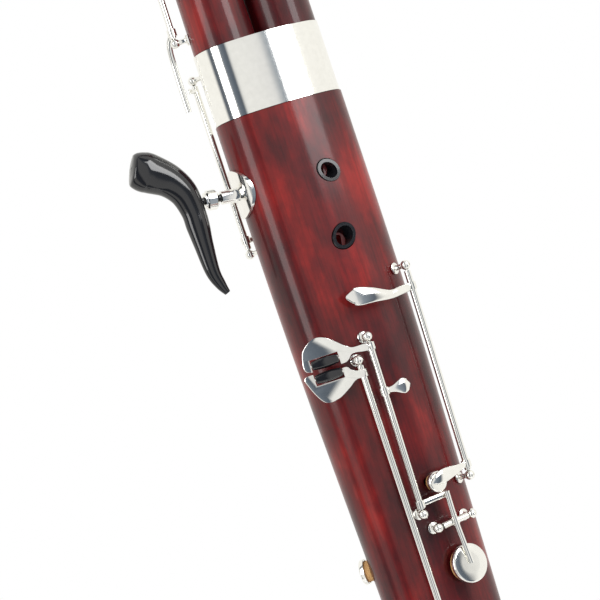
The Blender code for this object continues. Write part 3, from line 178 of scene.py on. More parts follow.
def red_maple():
    material, nodes, links, shader = new_finish("red_maple")
    flame = streaks(nodes, FLAME_STRETCH, 44.0, 5.0, 0.6)
    colour = ramp_of(nodes, links, flame, FLAME_COLOURS)
    grain = streaks(nodes, GRAIN_STRETCH, 900.0, 2.0, 0.5)
    tone = ramp_of(nodes, links, grain, GRAIN_TONES)
    mix = nodes.new("ShaderNodeMix")
    mix.data_type = "RGBA"
    mix.blend_type = "MULTIPLY"
    mix.inputs["Factor"].default_value = 1.0
    links.new(colour, mix.inputs["A"])
    links.new(tone, mix.inputs["B"])
    links.new(mix.outputs["Result"], shader.inputs["Base Color"])
    shader.inputs["Roughness"].default_value = 0.42
    shader.inputs["Specular IOR Level"].default_value = 0.25
    shader.inputs["Coat Weight"].default_value = 0.45
    shader.inputs["Coat Roughness"].default_value = 0.12
    return material


maple = red_maple()
print("finish", maple.name)

# %% [markdown]
# Keys, posts, bands and the bocal are silver-plated brass. A metal's colour is the colour of its
# mirror image, so the shader is fully metallic, fairly smooth and only a little warm. Handling
# marks are a faint change of tone, because deeper ones would make the polish look worn.

# %% Silver plate
SILVER_TONES = [(0.3, (0.88, 0.87, 0.83)), (0.7, (0.93, 0.92, 0.88))]


def silver_plate():
    material, nodes, links, shader = new_finish("silver_plate")
    marks = streaks(nodes, (1.0, 1.0, 1.0), 400.0, 3.0, 0.6)
    colour = ramp_of(nodes, links, marks, SILVER_TONES)
    links.new(colour, shader.inputs["Base Color"])
    shader.inputs["Metallic"].default_value = 1.0
    shader.inputs["Roughness"].default_value = 0.1
    return material


silver = silver_plate()
print("finish", silver.name)

# %% [markdown]
# The hand rest, the rollers and the bushings of the finger holes are black resin, polished by
# hands: a plain dark colour with a thin coat. Cork and pad leather are dull and speckled, so they
# share one function that gives the streaks two colours and no gloss.

# %% Resin, cork and leather
def plain_finish(name, colour, roughness, coat):
    material, nodes, links, shader = new_finish(name)
    shader.inputs["Base Color"].default_value = (*colour, 1.0)
    shader.inputs["Roughness"].default_value = roughness
    shader.inputs["Coat Weight"].default_value = coat
    return material


def grained_finish(name, dark, light, scale):
    material, nodes, links, shader = new_finish(name)
    grain = streaks(nodes, (1.0, 1.0, 1.0), scale, 4.0, 0.6)
    colour = ramp_of(nodes, links, grain, [(0.35, dark), (0.65, light)])
    links.new(colour, shader.inputs["Base Color"])
    shader.inputs["Roughness"].default_value = 0.75
    return material


resin = plain_finish("black_resin", (0.008, 0.008, 0.010), 0.12, 0.4)
cork = grained_finish("cork", (0.32, 0.18, 0.09), (0.6, 0.4, 0.22), 900.0)
leather = grained_finish("tan_leather", (0.62, 0.33, 0.12), (0.80, 0.48, 0.20), 1500.0)
print("finishes", [item.name for item in (resin, cork, leather)])

# %% [markdown]
# All sizes are in metres, X points to the right, Y to the back and Z up. The front of the boot
# faces -Y. Neighbouring pieces keep a small gap, as on the real instrument, so that they can be
# told apart and taken apart.

# %% Lengths and directions
MM = 0.001
GAP = 0.3 * MM
UP = Vector((0, 0, 1))
RIGHT = Vector((1, 0, 0))
FRONT = Vector((0, -1, 0))
print("gap between neighbours", GAP)

# %% [markdown]
# Posts, cups, bands and the bell are turned on a lathe. In Blender a profile of a few points is
# spun about an axis. A cylinder with loops cut into it would do for one band, but a spun profile
# keeps every step of the turning in one list. A profile that comes back to its start gives a
# ring, and any other one is closed by a flat face at each end.

# %% Turn a profile
def turned(profile, sides, across=0.0, loop=False):
    """A solid of revolution about an upright axis from (radius, height) points."""
    bm = bmesh.new()
    line = [bm.verts.new((across + radius, 0, height)) for radius, height in profile]
    ends = line[1:] + line[:1] if loop else line[1:]
    edges = [bm.edges.new(pair) for pair in zip(line, ends)]
    bmesh.ops.spin(bm, geom=line + edges, cent=(across, 0, 0), axis=UP, dvec=(0, 0, 0),
                   angle=math.tau, steps=sides, use_merge=True)
    open_edges = [edge for edge in bm.edges if edge.is_boundary]
    bmesh.ops.holes_fill(bm, edges=open_edges, sides=0)
    bmesh.ops.recalc_face_normals(bm, faces=bm.faces)
    return bm


print("lathe ready")

# %% [markdown]
# Rods, drills and blocks are Blender's own cone and cube, moved to their place. A matrix says
# where: its Z column is the way that the piece points.

# %% Rods and blocks
TUBE_SIDES = 32
NEARLY_PARALLEL = 0.95           # cosine above which a direction is no help


def aligned(origin, direction, towards=UP):
    """A matrix whose Z axis points along direction, with its Y axis near towards."""
    z_axis = Vector(direction).normalized()
    if abs(z_axis.dot(towards)) > NEARLY_PARALLEL:
        towards = FRONT
    x_axis = towards.cross(z_axis).normalized()
    y_axis = z_axis.cross(x_axis)
    rotation = Matrix((x_axis, y_axis, z_axis)).transposed().to_4x4()
    return Matrix.Translation(origin) @ rotation


def moved(bm, matrix):
    bmesh.ops.transform(bm, matrix=matrix, verts=bm.verts)
    return bm


def rod(start, end, radius, sides=TUBE_SIDES, end_radius=None):
    """A plain round rod, or a cone, between two points."""
    far_radius = radius if end_radius is None else end_radius
    bm = bmesh.new()
    bmesh.ops.create_cone(bm, cap_ends=True, segments=sides, radius1=radius, radius2=far_radius,
                          depth=(end - start).length)
    return moved(bm, aligned((start + end) / 2, end - start))


def block(low, high, frame):
    """A box between two corners in a frame."""
    low, high = Vector(low), Vector(high)
    bm = bmesh.new()
    bmesh.ops.create_cube(bm, size=1.0)
    bmesh.ops.scale(bm, vec=high - low, verts=bm.verts)
    return moved(bm, frame @ Matrix.Translation((low + high) / 2))


print("rods and blocks ready")

# %% [markdown]
# The boot is oval and the wing is neither round nor oval, so they are lofted: a skin is drawn
# over a stack of rings. Blender can bridge two rings by itself, but it chooses which points to
# join and may twist them. Here the open edge of the skin is extruded and set on the next ring,
# so that each point stays above its own neighbour.

# %% Skin a stack of rings
def circle(radius, height, sides, across=0.0):
    """A ring of points round a vertical axis."""
    turns = [math.tau * step / sides for step in range(sides)]
    return [Vector((across + radius * math.cos(turn), radius * math.sin(turn), height))
            for turn in turns]


def next_ring(bm, row, ring):
    """Extrude the open edge of a skin and set its new points on the next ring."""
    edges = [bm.edges.get((row[index - 1], row[index])) for index in range(len(row))]
    grown = bmesh.ops.extrude_edge_only(bm, edges=edges)["geom"]
    new = {item for item in grown if isinstance(item, bmesh.types.BMVert)}
    row = [next(edge.other_vert(vert) for edge in vert.link_edges if edge.other_vert(vert) in new)
           for vert in row]
    for vert, point in zip(row, ring):
        vert.co = point
    return row


def loft(rings, loop=False):
    """Skin a stack of rings. A loop joins the last ring to the first, other stacks get ends."""
    bm = bmesh.new()
    first = bmesh.ops.create_circle(bm, segments=len(rings[0]), radius=1.0)["verts"]
    for vert, point in zip(first, rings[0]):
        vert.co = point
    row = first
    for ring in rings[1:]:
        row = next_ring(bm, row, ring)
    if loop:
        row = next_ring(bm, row, rings[0])
        bmesh.ops.weld_verts(bm, targetmap=dict(zip(row, first)))
    else:
        open_edges = [edge for edge in bm.edges if edge.is_boundary]
        bmesh.ops.holes_fill(bm, edges=open_edges, sides=0)
    bmesh.ops.recalc_face_normals(bm, faces=bm.faces)
    return bm


print("lofts ready")

# %% [markdown]
# Arms, touches, the bocal and the hand rest follow a curve. A Blender curve object with a bevel
# would sweep a round section, but a touch is wide and flat and changes on its way. So an oval
# ring is set square to the path at each station, and the rings are lofted.

# %% Sweep an oval along a path
def swept(stations, sides, outward, bores=None):
    """Sweep an oval along stations of (point, half width, half thickness).

    The thickness points along outward. Given bores, the piece is a tube.
    """
    rings, inner = [], []
    turns = [math.tau * step / sides for step in range(sides)]
    for index, (point, width, thickness) in enumerate(stations):
        before = stations[max(index - 1, 0)][0]
        after = stations[min(index + 1, len(stations) - 1)][0]
        ahead = (after - before).normalized()
        side = ahead.cross(outward).normalized()
        lift = side.cross(ahead)
        rings.append([point + side * (width * math.cos(turn)) + lift * (thickness * math.sin(turn))
                      for turn in turns])
        if bores:
            inner.append([point + (side * math.cos(turn) + lift * math.sin(turn)) * bores[index]
                          for turn in turns])
    if bores:
        return loft(rings + inner[::-1], loop=True)
    return loft(rings)


print("sweeps ready")

# %% [markdown]
# A few given points are enough for a path when a smooth curve is drawn through them. The
# same curve runs through the widths, so that a touch swells without a corner. A touch ends
# round, so its last stations shrink along a quarter of a circle.

# %% Smooth paths
FINE = 5                         # stations for each step of a path
LEAST_END = 0.12                 # share of its width that a round end keeps
LEAST_EDGE = 0.5                 # share of its thickness that it keeps


def through(points, steps):
    """Points of a smooth curve through the given points."""
    result = []
    for index in range(len(points) - 1):
        p0 = points[max(index - 1, 0)]
        p1, p2 = points[index], points[index + 1]
        p3 = points[min(index + 2, len(points) - 1)]
        for step in range(steps):
            t = step / steps
            result.append(p1 + (p2 - p0) * (t / 2) + (p0 * 2 - p1 * 5 + p2 * 4 - p3) * (t * t / 2)
                          + (p1 * 3 - p0 - p2 * 3 + p3) * (t ** 3 / 2))
    result.append(points[-1])
    return result


def smooth_stations(stations, steps):
    """More stations for a sweep, on a smooth curve through the given ones."""
    steps = steps * FINE
    points = through([point for point, width, thickness in stations], steps)
    sizes = through([Vector((width, thickness)) for point, width, thickness in stations], steps)
    return [(point, size[0], size[1]) for point, size in zip(points, sizes)]


def rounded_end(stations, share):
    """Draw the last share of a swept piece in to a round end."""
    last = len(stations) - 1
    rounded = []
    for index, (point, width, thickness) in enumerate(stations):
        over = max((index / last - 1 + share) / share, 0.0)
        shrink = max(math.sqrt(1 - over * over), LEAST_END)
        full = stations[int(last * (1 - share))][1]
        if over > 0:
            width = max(width, full * (1 - over)) * (shrink if over > 0.5 else 1.0)
        rounded.append((point, width, thickness * max(shrink, LEAST_EDGE)))
    return rounded


print("smooth paths ready")

# %% [markdown]
# The plates under the little finger are cut from sheet, and their edges are filed round. A bevel
# on each edge would do it, but five rings of the same outline, the outer ones drawn in a little,
# give the same edge with fewer faces.

# %% Plates with filed edges
PLATE_UNDERCUT = 0.25 * MM       # chamfer of the lower edge
PLATE_EDGE = 0.3 * MM            # rounding of the upper edge
PLATE_CORNER = 0.09 * MM         # its middle ring, down from the top and in from the side


def smooth_outline(corners, steps):
    """A closed smooth curve through the corners of an outline."""
    corners = [Vector(corner) for corner in corners]
    wrapped = corners[-1:] + corners + corners[:2]
    return through(wrapped, steps)[steps:-1 - steps]


def plate(outline, thickness, frame):
    """A flat plate with a closed outline in the frame's XY plane."""
    half = thickness / 2
    middle = sum((Vector(point) for point in outline), Vector((0, 0))) / len(outline)
    rings = []
    for height, inset in ((-half, PLATE_UNDERCUT), (PLATE_UNDERCUT - half, 0.0), (half - PLATE_EDGE, 0.0),
                          (half - PLATE_CORNER, PLATE_CORNER), (half, PLATE_EDGE)):
        ring = []
        for point in outline:
            inward = (middle - Vector(point)).normalized() * inset
            ring.append(frame @ Vector((point[0] + inward.x, point[1] + inward.y, height)))
        rings.append(ring)
    return loft(rings)


print("plates ready")

# %% [markdown]
# A key is tube, collars, arms and cup soldered together, and wood is drilled. Both are booleans:
# union for solder, difference for a drill, and intersect to keep what lies within another shape.
# Each one is applied at once, because a finished piece is a plain mesh.

# %% Join and cut
def mesh_from(bm):
    mesh = bpy.data.meshes.new("solid")
    bm.to_mesh(mesh)
    bm.free()
    return mesh


def combine(thing, tools, operation):
    """Join solids to an object, cut them out of it or keep what it shares with them."""
    for tool in tools:
        helper = bpy.data.objects.new("helper", mesh_from(tool))
        bpy.context.collection.objects.link(helper)
        modifier = thing.modifiers.new("combine", "BOOLEAN")
        modifier.operation = operation
        modifier.object = helper
        graph = bpy.context.evaluated_depsgraph_get()
        mesh = bpy.data.meshes.new_from_object(thing.evaluated_get(graph))
        thing.modifiers.clear()
        thing.data = mesh
        bpy.data.objects.remove(helper, do_unlink=True)


print("join and cut ready")

# %% [markdown]
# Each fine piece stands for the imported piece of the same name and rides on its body, so it moves
# when the joint does. Curved faces are shaded smooth, and edges sharper than a set angle stay
# crisp, which is how a turned edge catches the light.

# %% Hand a piece to its body
SHARP_EDGE = math.radians(35)


def body_names():
    bodies = record["behaviour"]["bodies"]
    return {node: body for body, nodes in bodies.items() for node in nodes}


BODY_OF = body_names()


def make(name, solids, material, cuts=(), within=(), added=()):
    """One fine piece: solids joined, cuts taken out, then what is added after the cuts."""
    thing = bpy.data.objects.new(name + "_fine", mesh_from(solids[0]))
    bpy.context.collection.objects.link(thing)
    combine(thing, within, "INTERSECT")
    combine(thing, solids[1:], "UNION")
    combine(thing, cuts, "DIFFERENCE")
    combine(thing, added, "UNION")
    thing.data.name = name + "_fine"
    thing.data.materials.clear()
    thing.data.materials.append(material)
    thing.data.shade_smooth()
    thing.data.set_sharp_from_angle(angle=SHARP_EDGE)
    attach(thing, BODY_OF[name])
    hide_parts(name)
    print(name, "on", BODY_OF[name], len(thing.data.polygons), "faces")


# %% [markdown]
# The boot is one block of wood with two bores, so its section is a flat oval: two round sides
# joined by shallow crowns in front and behind. Near the top it keeps its size, and then it bends
# into a straight taper towards the floor. Every key stands on this surface, so it is a formula
# and not a mesh, and any piece can ask where the wood is.

# %% The boot's section
BOOT_TOP = 329.0 * MM            # upper face of the ferrule above the floor
BOOT_SIDE = 15.0 * MM            # radius of the rounded sides at the top
BOOT_SIDE_LOW = 11.8 * MM        # the same at the floor
BOOT_SPREAD = 12.9 * MM          # centres of the side arcs from the middle, at the top
BOOT_SPREAD_LOW = 9.8 * MM       # the same at the floor
CROWN_ANGLE = 20.0               # degrees of the shallow arc on each half of front and back
TAPER_DROP = 74.0 * MM           # the boot keeps its size this far below the top
TAPER_BLEND = 90.0 * MM          # and then bends into its straight taper over this length


def taper_run(height):
    """Length of full taper that has built up at a height."""
    below = (BOOT_TOP - TAPER_DROP) - height
    if below <= 0:
        return 0.0
    if below < TAPER_BLEND:
        return below * below / (2 * TAPER_BLEND)
    return below - TAPER_BLEND / 2


def boot_section(height):
    """Spread of the side arcs and their radius at a height."""
    share = taper_run(height) / taper_run(0.0)
    spread = BOOT_SPREAD + (BOOT_SPREAD_LOW - BOOT_SPREAD) * share
    side = BOOT_SIDE + (BOOT_SIDE_LOW - BOOT_SIDE) * share
    return spread, side


def crown_radius(height):
    """Radius of the shallow arcs of the boot's front and back."""
    spread, side = boot_section(height)
    return side + spread / math.sin(math.radians(CROWN_ANGLE))


print("boot", round(BOOT_TOP, 3), "its section at the top",
      [round(size, 4) for size in boot_section(BOOT_TOP)])

# %% [markdown]
# A seat is a place where something stands: a point of the surface, the way out of it and how
# strongly it bends there. On the boot it is found from the angle of its outward normal, or from
# a place seen from the front, so far below the top and so far across.

# %% Places on the boot
class Seat:
    """A place on the wood: its point, its outward normal and the radius of the wood's bend."""

    def __init__(self, point, normal, bend):
        self.point = point
        self.normal = normal
        self.bend = bend

    def above(self, lift):
        return self.point + self.normal * lift


def direction(angle):
    """A level direction, 0 degrees in front, 90 to the right and 180 behind."""
    turn = math.radians(angle)
    return Vector((math.sin(turn), -math.cos(turn), 0))


def boot_seat(height, angle):
    """The place on the boot where its outward normal has this angle."""
    spread, side = boot_section(height)
    normal = direction(angle)
    if abs(normal.x) < math.sin(math.radians(CROWN_ANGLE)):
        bend = crown_radius(height)
        setback = spread / math.tan(math.radians(CROWN_ANGLE))
        centre = Vector((0, -math.copysign(setback, normal.y), height))
    else:
        bend = side
        centre = Vector((math.copysign(spread, normal.x), 0, height))
    return Seat(centre + normal * bend, normal, bend)


def front_seat(drop, across, lift=0.0):
    """The place on the boot's front above which a point at this lift stands this far across."""
    height = BOOT_TOP - drop
    spread, side = boot_section(height)
    crown = crown_radius(height) + lift
    if abs(across) <= crown * math.sin(math.radians(CROWN_ANGLE)):
        return boot_seat(height, math.degrees(math.asin(across / crown)))
    reach = min((abs(across) - spread) / (side + lift), 1.0)
    return boot_seat(height, math.degrees(math.copysign(math.asin(reach), across)))


def front_point(drop, across, lift):
    return front_seat(drop, across, lift).above(lift)


print("seat in front", [round(value, 4) for value in boot_seat(BOOT_TOP, 0).point])

# %% [markdown]
# The oval as a ring of points, and a stack of such rings. The ring has its points at even angles
# of the normal, which puts more of them where the oval bends more. A plain ellipse would be
# simpler, but its sides would be too sharp.

# %% Rings of the boot
CROWN_STEPS = 10                 # points on half of a crown
SIDE_STEPS = 40                  # points round a side


def boot_ring(height, grow=0.0):
    """The boot's oval outline at a height, with more points where it bends more."""
    crown = [-CROWN_ANGLE + CROWN_ANGLE * step / CROWN_STEPS for step in range(2 * CROWN_STEPS)]
    round_side = 180 - 2 * CROWN_ANGLE
    side = [CROWN_ANGLE + round_side * step / SIDE_STEPS for step in range(SIDE_STEPS)]
    return [boot_seat(height, angle).above(grow)
            for angle in crown + side + [angle + 180 for angle in crown + side]]


def boot_stack(levels, loop=False):
    """A solid from the boot's outline at (height, growth) levels."""
    return loft([boot_ring(height, grow) for height, grow in levels], loop)


print("points in a ring of the boot", len(boot_ring(BOOT_TOP)))

# %% [markdown]
# The air goes down the small bore, round the bend in the boot's foot and up the large bore. The
# two bores lean towards each other, because the bend is narrower than the tubes above. The keys
# ask for these axes to know how deep their holes go.

# %% The boot's two bores
TUBE_SPACING = 27.3 * MM         # from the axis of the wing joint to that of the long joint
BEND_SPACING = 20.0 * MM         # distance between the two bores at the bend
FERRULE_PLATE = 1.2 * MM         # its flat top
CAP_HEIGHT = 40.0 * MM
CAP_LAP = 7.0 * MM               # how far the cap reaches up round the wood
WING_AXIS = -TUBE_SPACING / 2
LONG_AXIS = TUBE_SPACING / 2
WOOD_FOOT = CAP_HEIGHT - CAP_LAP
WOOD_TOP = BOOT_TOP - FERRULE_PLATE - GAP


def small_bore(height):
    """The axis of the bore below the wing joint."""
    share = (WOOD_TOP - height) / (WOOD_TOP - WOOD_FOOT)
    return Vector((WING_AXIS + (-BEND_SPACING / 2 - WING_AXIS) * share, 0, height))


def large_bore(height):
    """The axis of the bore below the long joint."""
    share = (WOOD_TOP - height) / (WOOD_TOP - WOOD_FOOT)
    return Vector((LONG_AXIS + (BEND_SPACING / 2 - LONG_AXIS) * share, 0, height))


print("axes of the tubes", WING_AXIS, LONG_AXIS)

# %% [markdown]
# A key turns on a steel rod between two posts. The posts are turned from silver with a foot, a
# thin neck and a ball, and screw into the wood. A hinge is kept as the line between the two
# balls, and tube, bore and collars are made from it, so they can't miss one another.

# %% Hinges and posts
KEY_RISE = 6.0 * MM              # hinge axes above the wood
POST_BALL = 2.05 * MM
POST_FOOT = 2.4 * MM
POST_NECK = 1.0 * MM
ROD_RADIUS = 0.6 * MM
TUBE_BORE = 0.95 * MM
KEY_TUBE = 1.35 * MM
COLLAR_RADIUS = 1.95 * MM
COLLAR_LENGTH = 3.0 * MM
POST_SIDES = 28
ROD_SIDES = 16
# Radius and height of the post's foot and neck
POST_TURNING = [(POST_FOOT, 0.0), (POST_FOOT, 0.5 * MM), (POST_FOOT - 0.3 * MM, 0.75 * MM),
                (POST_NECK + 0.3 * MM, 0.95 * MM), (POST_NECK, 1.6 * MM)]
BALL_STEPS = 12
BALL_START = -58                 # degrees below its middle at which the ball leaves the neck
BALL_STEP = 12                   # degrees between its rings
# The dimple in the ball's top
POST_DIMPLE = [(0.42 * MM, 0.97 * POST_BALL), (0.36 * MM, 0.78 * POST_BALL)]


class Hinge:
    """A pivot line between the balls of two posts that stand on the wood."""

    def __init__(self, low, high, rise=KEY_RISE, high_sink=0.0):
        self.feet = ((low, rise), (high, rise + high_sink))
        self.low = low.above(rise)
        self.high = high.above(rise)
        self.ahead = (self.high - self.low).normalized()

    def at(self, height):
        """The point of an upright pivot line at a height."""
        return self.low.lerp(self.high, (height - self.low.z) / (self.high.z - self.low.z))

    def turn(self, degrees):
        """A matrix that turns a piece about the pivot line."""
        rotation = Matrix.Rotation(math.radians(degrees), 4, self.ahead)
        return Matrix.Translation(self.low) @ rotation @ Matrix.Translation(-self.low)

    def tube(self):
        """The key's tube as a solid rod, clear of the balls at its ends."""
        clear = self.ahead * (POST_BALL + GAP)
        return rod(self.low + clear, self.high - clear, KEY_TUBE)

    def bore(self):
        return rod(self.low, self.high, TUBE_BORE)

    def collar(self, point):
        """A wider ring round the tube where an arm leaves it."""
        half = self.ahead * (COLLAR_LENGTH / 2)
        return rod(point - half, point + half, COLLAR_RADIUS)


def posts(name, hinge):
    """The two turned posts of a hinge, with the steel rod that joins their balls."""
    solids = []
    for (foot, rise), ball in zip(hinge.feet, (hinge.low, hinge.high)):
        profile = [(radius, GAP - rise + height) for radius, height in POST_TURNING]
        turns = [math.radians(BALL_START + BALL_STEP * step) for step in range(BALL_STEPS)]
        profile += [(POST_BALL * math.cos(turn), POST_BALL * math.sin(turn)) for turn in turns]
        profile += POST_DIMPLE
        solids.append(moved(turned(profile, POST_SIDES), aligned(ball, foot.normal)))
    solids.append(rod(hinge.low, hinge.high, ROD_RADIUS, ROD_SIDES))
    # The rod comes second, so that every join meets what is already there
    make(name, [solids[0], solids[2], solids[1]], silver)


print("a post is about", round(KEY_RISE + POST_BALL, 5), "tall")

# %% [markdown]
# An arm is forged to an even flat oval. A touch, the leaf that a finger presses, is wider where
# the finger lies. Both are sweeps, with the flat side towards the finger.

# %% Arms and touches
ARM_WIDTH = 1.25 * MM            # half the width of an arm
ARM_THICKNESS = 0.75 * MM        # half its thickness
LEAF_THICKNESS = 0.75 * MM       # half the thickness of a finger touch
ARM_SIDES = 24
PATH_STEPS = 2                   # steps between two points of an arm
LEAF_END = 0.3                   # share of a touch that is drawn in to its round end


def arm(points, outward, width=ARM_WIDTH, thickness=ARM_THICKNESS):
    """An arm of even section along a smooth curve."""
    stations = [(point, width, thickness) for point in points]
    if len(points) > 2:
        stations = smooth_stations(stations, PATH_STEPS)
    return swept(stations, ARM_SIDES, outward)


def leaf(points, widths, outward, steps=PATH_STEPS):
    """A finger touch that widens and narrows along its points."""
    stations = [(point, width, LEAF_THICKNESS) for point, width in zip(points, widths)]
    return swept(rounded_end(smooth_stations(stations, steps * 3), LEAF_END), ARM_SIDES, outward)


print("an arm is", 2 * ARM_WIDTH, "wide")

# %% [markdown]
# A pad is leather over felt in a silver cup, and closes a hole whose rim is milled flat into the
# round wood. How deep the mill goes follows from the pad's radius and the bend of the wood. The
# cup's place at rest follows from its closed place, turned about the hinge by the angle at which
# the key stands open.

# %% Milled seats and holes
SEAT_MARGIN = 0.5 * MM           # milled seat wider than its pad
SEAT_LIP = 0.15 * MM             # least depth of a milled seat
PAD_PROUD = 2.6 * MM             # pad below the rim of its cup
CUP_SIDES = 60


def seat_depth(seat, pad_radius):
    """Depth at which a flat milled seat is whole all the way round."""
    reach = pad_radius + SEAT_MARGIN
    return reach * reach / (2 * seat.bend) + SEAT_LIP


def tone_hole(seat, pad_radius, hole_radius, target):
    """Cutters for a milled pad seat and for the hole from there to the air column."""
    floor = seat.above(-seat_depth(seat, pad_radius))
    mill = rod(floor, seat.above(4 * MM), pad_radius + SEAT_MARGIN, CUP_SIDES)
    back = (floor - target).normalized()
    return [mill, rod(target, floor + back * 2 * MM, hole_radius)]


def cup_frame(seat, pad_radius, hinge, opened):
    """Where a cup's rim lies when its key stands this many degrees from closed."""
    lift = PAD_PROUD + GAP - seat_depth(seat, pad_radius)
    return hinge.turn(opened) @ aligned(seat.above(lift), seat.normal)


print("a pad stands", round(PAD_PROUD, 5), "below its cup's rim")

# %% [markdown]
# The cup is turned with a slightly domed top and a rolled edge, and the pad with a round edge.
# The arm is soldered to the middle of the cup's top.

# %% Cups and pads
CUP_WALL = 0.6 * MM
CUP_HEIGHT = 2.2 * MM
PAD_ROUNDING = 0.6 * MM
CUP_RIM = 0.15 * MM              # rounding of the rim
# Rings of the shoulder, in from the side and down from the top
CUP_SHOULDER = [(0.0, 0.7 * MM), (0.1 * MM, 0.4 * MM), (0.4 * MM, 0.16 * MM)]
SOLDER_RISE = 0.55 * MM          # middle of an arm above its cup
PAD_STEPS = 6


def cup(pad_radius, frame):
    """A shallow round cup, open below, with a slightly domed top."""
    inner = pad_radius + GAP
    outer = inner + CUP_WALL
    profile = [(inner, CUP_HEIGHT - CUP_WALL), (inner, 0.0), (outer - CUP_RIM, 0.0), (outer, CUP_RIM)]
    profile += [(outer - inwards, CUP_HEIGHT - down) for inwards, down in CUP_SHOULDER]
    profile += [(0.88 * outer, CUP_HEIGHT - 0.04 * MM), (0.5 * outer, CUP_HEIGHT)]
    return moved(turned(profile, CUP_SIDES), frame)


def cup_top(frame):
    """The point at which an arm is soldered to the top of a cup."""
    return frame @ Vector((0, 0, CUP_HEIGHT + SOLDER_RISE))


def pad(name, pad_radius, frame):
    """The skin-covered pad that a cup holds."""
    profile = [(pad_radius, CUP_HEIGHT - CUP_WALL - GAP)]
    for step in range(PAD_STEPS + 1):
        turn = math.pi / 2 * step / PAD_STEPS
        profile.append((pad_radius - PAD_ROUNDING * (1 - math.cos(turn)),
                        PAD_ROUNDING * (1 - math.sin(turn)) - PAD_PROUD))
    make(name, [moved(turned(profile, CUP_SIDES), frame)], leather)


print("a cup is", CUP_HEIGHT, "high")

# %% [markdown]
# Two finger holes are drilled at a slant, so their rims in the wood are ovals, and each is lined
# with a black bushing. A slanting cylinder would give such a rim too, but its oval would follow
# from the slant alone. Here the oval is given, laid at two depths and lofted, once outside and
# once inside for the bushing, and once, a gap wider, for the recess in the wood.

# %% Bushings of the finger holes
# Place to the right, depth below the boot's top, half axes of the oval and the slant of its
# long axis in degrees above the level
UPPER_HOLE = (5.95 * MM, 61.3 * MM, 5.1 * MM, 4.4 * MM, -43.0)
LOWER_HOLE = (3.2 * MM, 88.6 * MM, 5.6 * MM, 4.8 * MM, 41.0)
BUSHING_DEPTH = 4.2 * MM
BUSHING_PROUD = 0.25 * MM
BUSHING_WALL = 1.3 * MM
BUSHING_LEAN = 31.0              # degrees of the drilled holes from square to the wood


def oblique_oval(hole, grow, lift, depth):
    """The slanting oval plug of a finger hole, and the point at its inner end."""
    across, drop, long_half, short_half, slant = hole
    seat = front_seat(drop, across)
    right = UP.cross(seat.normal)
    major = right * math.cos(math.radians(slant)) + UP * math.sin(math.radians(slant))
    minor = seat.normal.cross(major)
    lean = math.tan(math.radians(BUSHING_LEAN))
    turns = [math.tau * step / CUP_SIDES for step in range(CUP_SIDES)]
    rings = []
    for level in (-depth, lift):
        centre = seat.above(level) + major * (level * lean)
        rings.append([centre + major * ((long_half + grow) * math.cos(turn))
                      + minor * ((short_half + grow) * math.sin(turn)) for turn in turns])
    return rings, seat.above(-depth) - major * (depth * lean)


def bushing_cuts(hole):
    """The recess for a bushing and the hole from there to the small bore."""
    rings, inner_end = oblique_oval(hole, GAP, 3 * MM, BUSHING_DEPTH + GAP)
    target = small_bore(inner_end.z + 2 * MM)
    back = (inner_end - target).normalized()
    drill = rod(target, inner_end + back * 1.5 * MM, hole[3] - BUSHING_WALL - 0.2 * MM)
    return [loft(rings), drill]


def make_bushing(name, hole):
    outer = oblique_oval(hole, 0.0, BUSHING_PROUD, BUSHING_DEPTH)[0]
    inner = oblique_oval(hole, -BUSHING_WALL, BUSHING_PROUD, BUSHING_DEPTH)[0]
    make(name, [loft(outer + inner[::-1], loop=True)], resin)


boot_cuts = bushing_cuts(UPPER_HOLE) + bushing_cuts(LOWER_HOLE)
make_bushing("finger_bushing_upper", UPPER_HOLE)
make_bushing("finger_bushing_lower", LOWER_HOLE)
print("cuts in the boot", len(boot_cuts))

# %% [markdown]
# The keys come before the wood, because they say where it is drilled. The third finger's key
# closes the G hole: a long tube at the right, a spoon-shaped touch above and a cup below. Its
# places are measured from the boot's top and middle, and lie on the wood plus a lift.

# %% G key
G_OPEN = 5.0                     # degrees from closed at which it stands
G_PAD_RADIUS = 3.4 * MM
G_HOLE_RADIUS = 2.4 * MM


def front_hinge(low_drop, low_across, high_drop, high_across, rise=KEY_RISE):
    return Hinge(front_seat(low_drop, low_across, rise), front_seat(high_drop, high_across, rise), rise)


def g_key():
    """The third finger's key: a long tube with a spatula above and a pad below."""
    hinge = front_hinge(197.3 * MM, 22.6 * MM, 107.7 * MM, 24.5 * MM)
    posts("g_key_posts", hinge)
    pad_radius = G_PAD_RADIUS
    pad_seat = front_seat(194.6 * MM, 5.8 * MM)
    frame = cup_frame(pad_seat, pad_radius, hinge, G_OPEN)
    pad("g_key_pad", pad_radius, frame)
    touch_root = hinge.at(BOOT_TOP - 116.6 * MM)
    spatula = leaf([touch_root, front_point(116.8 * MM, 18.0 * MM, 7.2 * MM),
                    front_point(117.0 * MM, 12.0 * MM, 7.2 * MM),
                    front_point(114.9 * MM, 4.0 * MM, 7.6 * MM),
                    front_point(113.6 * MM, -2.5 * MM, 7.6 * MM),
                    front_point(112.6 * MM, -7.2 * MM, 7.5 * MM)],
                   [1.6 * MM, 1.7 * MM, 1.8 * MM, 3.0 * MM, 3.6 * MM, 1.9 * MM],
                   direction(8))
    arm_root = hinge.at(BOOT_TOP - 192.4 * MM)
    boat = leaf([arm_root, front_point(192.6 * MM, 18.5 * MM, 6.8 * MM),
                 front_point(193.1 * MM, 9.0 * MM, 7.3 * MM),
                 front_point(194.3 * MM, 2.4 * MM, 7.3 * MM)],
                [1.4 * MM, 1.4 * MM, 2.7 * MM, 0.9 * MM], direction(10), steps=3)
    make("g_key", [hinge.tube(), hinge.collar(touch_root), hinge.collar(arm_root), spatula, boat,
                   cup(pad_radius, frame)],
         silver, cuts=[hinge.bore()])
    return tone_hole(pad_seat, pad_radius, G_HOLE_RADIUS, small_bore(BOOT_TOP - 188 * MM))


